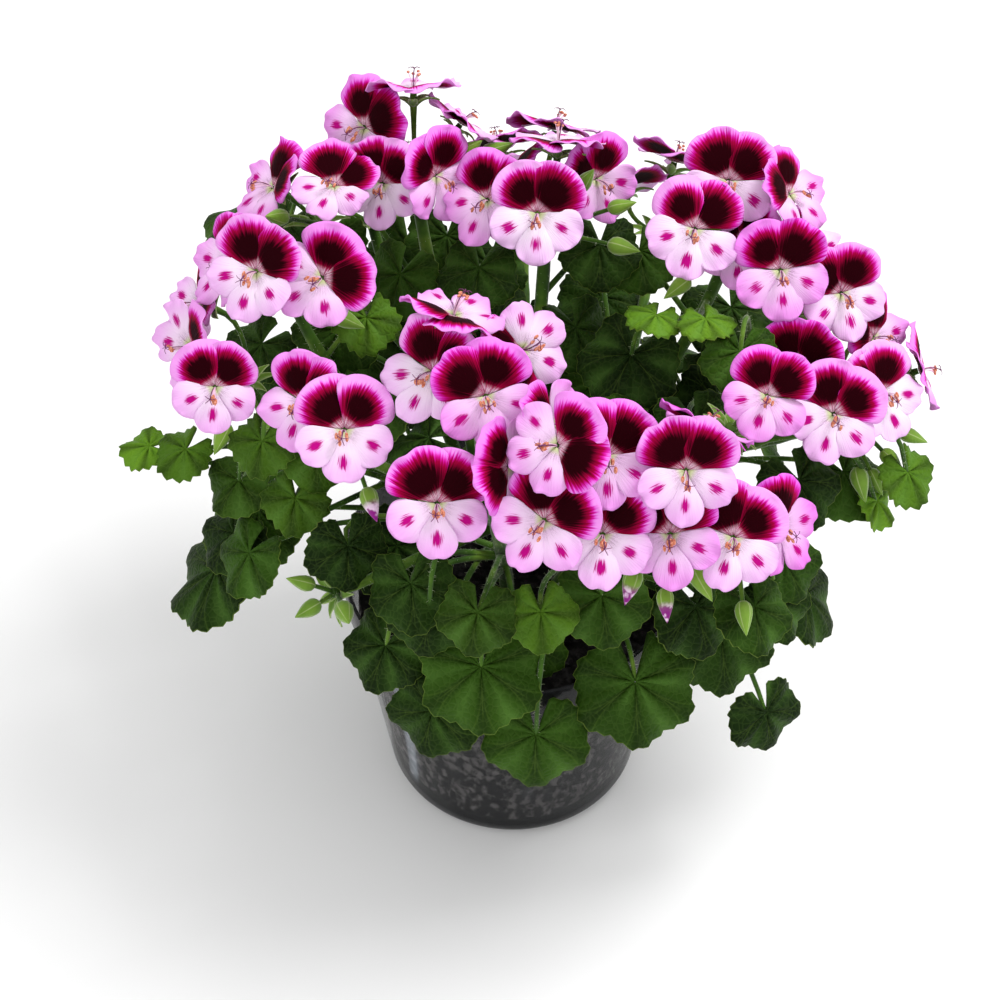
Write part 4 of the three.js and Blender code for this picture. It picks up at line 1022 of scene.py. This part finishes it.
green = Finish("leaf_green", specular_ior_level=0.07)
lobe = green.along(0)
out = green.along(1)
from_vein = abs(lobe - green.math("ROUND", lobe))
main_vein = green.step(from_vein * (0.25 + out * 0.75), 0.02, 0.004) * green.step(out, 1.0, 0.3)
fork = abs(from_vein - out * out * 0.2)
side_vein = green.step(fork * out, 0.02, 0.004) * green.step(out, 0.25, 0.5)
net = green.node("ShaderNodeTexVoronoi", {"feature": "DISTANCE_TO_EDGE"},
                 {"Vector": green.place(), "Scale": 420.0, "Randomness": 1.0}, "Distance")
mesh_veins = green.step(net, 0.12, 0.02)
veins = green.math("MAXIMUM", main_vein, side_vein * 0.4)
patch = green.noise(40, 4)
fine = green.noise(600, 3)
rim = green.step(out, 0.982, 1.0)
shade = patch * 0.9 + green.trait("tint") * 0.9 - 0.4
blade_colour = green.layered(
    green.mix(green.trait("young"), green.mix(shade, "112404", "2f4e0d"),
              green.mix(patch, "426f12", "7fae2c")),
    # Painted shade: darker green towards each vein, in the grooves that the veins run in.
    (green.step(from_vein, 0.25, 0.0) * 0.55, "081402"),
    # Painted highlight: lighter green in patches on the panels that bulge between the veins.
    (green.step(from_vein, 0.2, 0.5) * green.step(patch, 0.3, 0.7) * 0.4, "64903e"),
    (mesh_veins * 0.05, "7c9c50"),
    (veins * 0.24, "6f8f3a"),
    (rim * 0.35, "93ad4c"))
green.paint(base_color=blade_colour, roughness=0.42 + fine * 0.3)
green.relief(green.step(net, 0.0, 0.3) * 0.3 + fine * 0.2 + green.noise(170, 2) * 0.8, 0.0006)


def downy(name, sheen=0.3, grain=600):
    """The finish of the soft green parts, with the bloom of the finest hairs on it."""
    finish = Finish(name, roughness=0.55, specular_ior_level=0.15, sheen_weight=sheen,
                    sheen_roughness=0.4)
    return finish.relief(finish.noise(grain, 2), 0.0003)


soft = downy("stem_green", grain=500)
soft.paint(base_color=soft.ramp(soft.noise(90, 3), (0.3, "223c10"), (0.5, "3f6418"),
                                (0.7, "66862c")))

sepal_green = downy("sepal_green")
edge = abs(sepal_green.along(0) * 2 - 1)
tone = sepal_green.trait("young") * 0.6 + sepal_green.noise(160, 3) * 0.5
sepal_green.paint(base_color=sepal_green.layered(
    "33591a", (tone, "84ac3c"), (sepal_green.step(edge, 0.7, 1.0) * 0.7, "b8c98c")))

bud_green = downy("bud_green", 0.4)
around = bud_green.along(0) * SEPALS
seam = bud_green.step(abs(around - bud_green.math("ROUND", around)), 0.09, 0.02)
tone = bud_green.trait("young") * 0.6 + bud_green.noise(200, 3) * 0.5
folded = bud_green.mix(bud_green.step(bud_green.noise(330, 2), 0.45, 0.6), "8d1483", "f4d4f2")
bud_green.paint(base_color=bud_green.layered(
    "38601a", (tone, "8ab03e"), (seam * 0.5, "c0cf92"), (bud_green.trait("petal"), folded)))

for node in bars:
    name = node.removeprefix("leafy_stem_")
    finished(drawn_bars(f"stems_{name}", bars[node]), soft, "foliage", node)
    finished(joined(f"leaves_{name}", leaves[node], BLADE_THICKNESS), green, "foliage", node)
    finished(joined(f"sepals_{name}", sepals[node], SEPAL_WALL), sepal_green, "foliage", node)
    if buds[node]:
        finished(joined(f"buds_{name}", buds[node]), bud_green, "foliage", node)


# Petals: five to a bloom, two broad upper ones that overlap and three narrower lower ones.
# They are satin-soft and pale pink, with a near-black blotch feathered into magenta on each
# upper petal and one broken magenta mark on each lower one.
LIFT = (6.6, 1.6)
REFLEX = (3.6, 1.8)
PETAL_CURL = 1.5
PETAL_TURN = 3
PETAL_WALL = 0.35
UPPER_LEAN = (4, 9)
RIPPLE = 1.15
CREASE = 0.5
BEND = 2.6
NOTCH = 0.05
OVERLAP = 0.45
UPPER = {"length": 20, "half": 11, "widest": 0.66, "claw": 0.34, "overlap": 1}
SIDE = {"length": 18, "half": 7.8, "widest": 0.76, "claw": 0.34, "overlap": 0}
BOTTOM = {"length": 18.8, "half": 7.5, "widest": 0.85, "claw": 0.24, "overlap": 0}
PETALS = [(40, UPPER), (-40, UPPER), (-119, SIDE), (-180, BOTTOM), (-241, SIDE)]
PINKER_HEADS = {"centre": 0.6, "left_near": 0.4, "front_mid": 0.75, "right_near": 0.8,
                "front_far_right": 0.75, "front_right": 0.7, "back": 0.6, "left_low": 0.7}

petal_sheet, petal_across, petal_along = blank(15, 15)


def petal(bloom, number):
    """One petal of a bloom, pressed from a flat sheet: round, with a narrow claw."""
    item, axes, centre = bloom["item"], bloom["axes"], bloom["centre"]
    angle, sizes = PETALS[number]
    key = item * len(PETALS) + number
    lean = UPPER_LEAN[0] + UPPER_LEAN[1] * (draw(item, 108) - 0.5) * (1 if number else -1)
    inward = -math.copysign(lean, angle) if sizes["overlap"] else 0
    turn = math.radians(angle + inward + PETAL_TURN * (draw(item, 10 + number) - 0.5))
    aside, ahead = petal_across, 2 * petal_along - 1
    share = (1 + ahead * np.sqrt(1 - aside ** 2 / 2)) / 2
    rim = (aside ** 2 + ahead ** 2 - aside ** 2 * ahead ** 2) ** 2 * share
    broad = np.sin(np.pi / 2 * np.minimum(share / sizes["widest"], 1)) ** 1.6
    claw = sizes["claw"] + (1.08 - sizes["claw"]) * broad
    flat = aside * np.sqrt(1 - ahead ** 2 / 2) * claw
    across = flat * sizes["half"] * (0.9 + 0.17 * draw(key, 100))
    dent = NOTCH * np.exp(-(aside / 0.3) ** 2) * (draw(key, 101) > 0.5)
    along = (0.04 + 0.96 * share - dent * share ** 6) * sizes["length"]
    lift = LIFT[0] + LIFT[1] * draw(item, 1)
    reflex = REFLEX[0] + REFLEX[1] * draw(item, 2)
    bend = BEND * ((draw(key, 109) - 0.5) * share ** 2 + (draw(key, 110) - 0.5) * flat * share)
    ripple = np.sin(flat * 4.2 + share * 5 + WAVE_STARTS * draw(key, 102))
    ripple = ripple + 0.6 * np.sin(flat * 9 - share * 4 + WAVE_STARTS * draw(key, 103))
    height = (-THROAT_DEPTH + lift * share - reflex * share ** 2
              - PETAL_CURL * flat ** 2 * (0.4 + 2 * draw(key, 104))
              - CREASE * np.exp(-(across / 1.5) ** 2) * share * (1 - share)
              + RIPPLE * rim * ripple + bend)
    if sizes["overlap"]:
        over = 1 if (number == 0) == (draw(item, 105) > 0.25) else -1
        height += over * OVERLAP * np.clip(share * 4, 0, 1)
    else:
        height += 0.3 * (number % 2) - 0.15
    points = np.column_stack([along * math.sin(turn) + across * math.cos(turn),
                              along * math.cos(turn) - across * math.sin(turn), height])
    pink = PINKER_HEADS.get(bloom["head"], 0.45) + 0.9 * (draw(item, 106) - 0.5)
    return pressed(petal_sheet, points @ axes.T + centre, (flat, share),
                   pink=np.clip(pink, 0, 1), seed=draw(key, 107))


def petal_finish(name):
    """The satin of a petal, and what its pattern is drawn with."""
    finish = Finish(name, roughness=0.6, specular_ior_level=0.02)
    across, along, seed = finish.along(0), finish.along(1), finish.trait("seed")
    ray = across / (along + 0.12)
    fan = finish.noise(1.0, 4, finish.vector(ray * 15, along * 1.4, seed * 40), 0.6)
    finish.relief(finish.noise(1.0, 1, finish.vector(ray * 16, along * 2, seed * 9)), 0.0002)
    return finish, across, along, fan


upper, across, along, fan = petal_finish("upper_petal")
pink = upper.trait("pink")
spread = ((across * across) * 0.74 + ((along - 0.43) / 0.78) ** 2 * 1.9) ** 0.5
reach = spread * (0.88 + upper.trait("seed") * 0.32) + (fan - 0.5) * 0.6
lines = upper.step(abs(fan - 0.5), 0.08, 0.03)
upper.paint(base_color=upper.layered(
    upper.mix(pink, "f5b4f2", "ea7ae6"),
    (upper.step(reach, 0.96, 0.74), upper.mix(pink, "e45ad8", "d83aca")),
    (upper.step(reach, 0.84, 0.72), "cc1296"),
    (upper.step(reach, 0.76, 0.62), "9c0338"),
    (upper.step(reach, 0.68, 0.36), "240006"),
    (upper.step(along, 0.19, 0.07), upper.mix(lines, "f0dbe8", "a0145a"))))

lower, across, along, fan = petal_finish("lower_petal")
pink = lower.trait("pink")
off = along - 0.55 - lower.trait("seed") * 0.08
from_mark = ((across / 0.28) ** 2 + (off / 0.18) ** 2) ** 0.5
broken = from_mark + (fan - 0.5) * 2.6
fine_veins = lower.step(abs(fan - 0.5), 0.03, 0.008) * lower.step(along, 0.38, 0.14)
lower.paint(base_color=lower.layered(
    lower.mix(pink, "f9eefb", "f0c0f0"),
    (lower.step(along, 0.25, 0.95) + (fan - 0.5) * 0.4, lower.mix(pink, "f2c9f5", "e27ddd")),
    (lower.step(from_mark, 1.3, 0.3) * 0.5, "dd62cf"),
    (lower.step(broken, 0.85, 0.55), "b50c7c"),
    (fine_veins * 0.8, "6f2f5f"),
    (lower.step(along, 0.18, 0.04), "d3dca6")))

shared = {node: [bloom for bloom in blooms if bloom["node"] == node]
          for node in sorted({bloom["node"] for bloom in blooms})}
for node, own in shared.items():
    name = node.removeprefix("petals_")
    for kind, finish, numbers in (("upper", upper, (0, 1)), ("lower", lower, (2, 3, 4))):
        sheets = [petal(bloom, number) for bloom in own for number in numbers]
        finished(joined(f"{kind}_petals_{name}", sheets, PETAL_WALL), finish, "petal", node)


# Stamens and stigma: a few pale pink filaments with orange anthers lean out of each throat
# over the lower petals, round a purple style whose tip splits into five curled arms.
FILAMENTS = 6
FILAMENT_RADIUS = 0.2
FILAMENT_POINTS = 6
FILAMENT_FAN = 2.4
FILAMENT_REACH = (3.6, 1.6)
FILAMENT_DROP = (1.6, 3.4)
STYLE_TIP = (-3.6, 4.4)
STYLE_POINTS = 7
ARMS = 5
ARM_RADIUS = 0.2
ARM_POINTS = 5
ANTHER = (0.6, 1.2, 0.5)

filament_pink = Finish("filament_pink", base_color="eec3dc", roughness=0.5)
style_purple = Finish("style_purple", base_color="6d1c5c", roughness=0.45)
anther_orange = Finish("anther_orange", roughness=0.8)
anther_orange.paint(base_color=anther_orange.ramp(
    anther_orange.noise(1500, 2), (0.35, "b85a3c"), (0.65, "eba183")))
for node, own in shared.items():
    filaments, styles, anthers = [], [], []
    for bloom in own:
        item, axes, centre = bloom["item"], bloom["axes"], bloom["centre"]
        for i in range(FILAMENTS):
            number = item * FILAMENTS + i
            aside = FILAMENT_FAN * (draw(number, 110) - 0.5) * 2
            ahead = FILAMENT_REACH[0] + FILAMENT_REACH[1] * draw(number, 111)
            down = FILAMENT_DROP[0] + FILAMENT_DROP[1] * draw(number, 112)
            end = (aside, -down, ahead - 1.5)
            curve = Curve((0.1 * aside, -0.2, -THROAT_DEPTH), (0.4 * aside, 0.2, ahead * 0.7 - 2),
                          end)
            points = curve.line(FILAMENT_POINTS) @ axes.T + centre
            filaments.append((points, np.full(FILAMENT_POINTS, FILAMENT_RADIUS)))
            anther = ball * ANTHER + end
            anthers.append(pressed(oval_mesh, anther @ axes.T + centre))
        lean = 1.5 * (draw(item, 113) - 0.5)
        tip = np.array([lean, *STYLE_TIP])
        style = Curve((0, -0.2, -THROAT_DEPTH), (0, 0.4, 3), tip)
        points = style.line(STYLE_POINTS) @ axes.T + centre
        styles.append((points, np.full(STYLE_POINTS, ARM_RADIUS)))
        for i in range(ARMS):
            turn = 2 * math.pi * (i + 0.3 * draw(item * ARMS + i, 114)) / ARMS
            way = np.array([math.cos(turn), math.sin(turn), 0])
            arm = Curve(tip, tip + way * 1 + (0, 0, 1.3), tip + way * 2.4 + (0, 0, 0.2))
            points = arm.line(ARM_POINTS) @ axes.T + centre
            styles.append((points, ARM_RADIUS * np.linspace(0.9, 0.6, ARM_POINTS)))
    name = node.removeprefix("petals_")
    finished(drawn_bars(f"filaments_{name}", filaments, 0), filament_pink, "petal", node)
    finished(drawn_bars(f"styles_{name}", styles, 0), style_purple, "petal", node)
    finished(joined(f"anthers_{name}", anthers), anther_orange, "petal", node)


# Hairs: short pale ones stand all over the stems, flower stalks and petioles. Each is a
# three-sided spine with its root in the skin.
HAIRS_PER_MM = 1.5
HAIR_LENGTH = (0.7, 1.5)
HAIR_RADIUS = 0.06
HAIR_ROOT = 0.9
HAIR_TILT = 0.25


def along_line(points, lengths, spots):
    """The places at some lengths along a line."""
    return np.column_stack([np.interp(spots, lengths, column) for column in points.T])


hair = Finish("pale_hair", base_color="cdd8b0", roughness=0.5, sheen_weight=0.3)
for node in bars:
    roots, ways = [], []
    for points, radii in bars[node]:
        lengths = np.concatenate([[0], np.cumsum(np.linalg.norm(np.diff(points, axis=0), axis=1))])
        spots = rng.random(int(lengths[-1] * HAIRS_PER_MM)) * lengths[-1]
        along = along_line(points, lengths, spots + 1) - along_line(points, lengths, spots - 1)
        way = np.cross(along, rng.normal(size=(len(spots), 3)))
        way /= np.linalg.norm(way, axis=1)[:, None]
        skin = way * np.interp(spots, lengths, radii)[:, None] * HAIR_ROOT
        roots.append(along_line(points, lengths, spots) + skin)
        ways.append(way + HAIR_TILT * rng.normal(size=way.shape))
    roots, ways = np.vstack(roots), np.vstack(ways)
    aside = np.cross(ways, rng.normal(size=ways.shape))
    aside *= HAIR_RADIUS / np.linalg.norm(aside, axis=1)[:, None]
    other = np.cross(ways, aside)
    other *= HAIR_RADIUS / np.linalg.norm(other, axis=1)[:, None]
    tips = roots + ways * rng.uniform(*HAIR_LENGTH, len(ways))[:, None]
    spines = np.stack([roots + aside, roots - aside / 2 + other * 0.87,
                       roots - aside / 2 - other * 0.87, tips], axis=1)
    first = 4 * np.arange(len(roots))[:, None, None]
    faces = (first + np.array([[0, 2, 1], [0, 1, 3], [1, 2, 3], [2, 0, 3]])).reshape(-1, 3)
    name = f"hairs_{node.removeprefix('leafy_stem_')}"
    mesh = bpy.data.meshes.new(name)
    mesh.from_pydata(spines.reshape(-1, 3) * MM, [], faces.tolist())
    finished(placed(name, mesh), hair, "foliage", node)


# Studio: a white seamless sheet, soft light from above and the right, and a camera that
# looks down on the pot as the photograph does.
FLOOR_SIZE = 6
PLANT_MIDDLE = (0, 0, 0.15)
AIR_LIGHT = 0.84
CAMERA_PITCH = 48.4
CAMERA_DISTANCE = 0.841
CAMERA_TARGET = (-0.0052, 0, 0.1494)
LENS = 81
SENSOR = 36

bpy.ops.object.select_all(action="DESELECT")
bpy.ops.mesh.primitive_plane_add(size=FLOOR_SIZE)
floor = bpy.context.object
floor.name = "studio_floor"
paper = Finish("studio_paper", base_color="f4f4f4", roughness=0.9, specular_ior_level=0.1)
floor.data.materials.append(paper.material)


def facing(place, target):
    """The turn that a light or a camera at a place needs to face its target."""
    return (Vector(target) - Vector(place)).to_track_quat("-Z", "Y").to_euler()


def softbox(name, place, size, power):
    """A square area light that faces the middle of the plant."""
    bpy.ops.object.light_add(type="AREA", location=place)
    light = bpy.context.object
    light.name = name
    light.data.size = size
    light.data.energy = power
    light.rotation_euler = facing(place, PLANT_MIDDLE)


softbox("key_light", (0.8, 0.3, 1.6), 0.7, 19)
softbox("fill_light", (-0.9, -1.2, 1.2), 1.2, 5)
world = bpy.data.worlds.new("studio_light")
world.use_nodes = True
air = world.node_tree.nodes["Background"].inputs
air["Color"].default_value = linear("ffffff")
air["Strength"].default_value = AIR_LIGHT
bpy.context.scene.world = world
bpy.context.scene.view_settings.view_transform = "Standard"

pitch = math.radians(CAMERA_PITCH)
target = Vector(CAMERA_TARGET)
eye = target + CAMERA_DISTANCE * Vector((0, -math.cos(pitch), math.sin(pitch)))
bpy.ops.object.camera_add(location=eye, rotation=facing(eye, target))
camera = bpy.context.object
camera.data.lens = LENS
camera.data.sensor_width = SENSOR
camera.data.clip_end = 20
bpy.context.scene.camera = camera
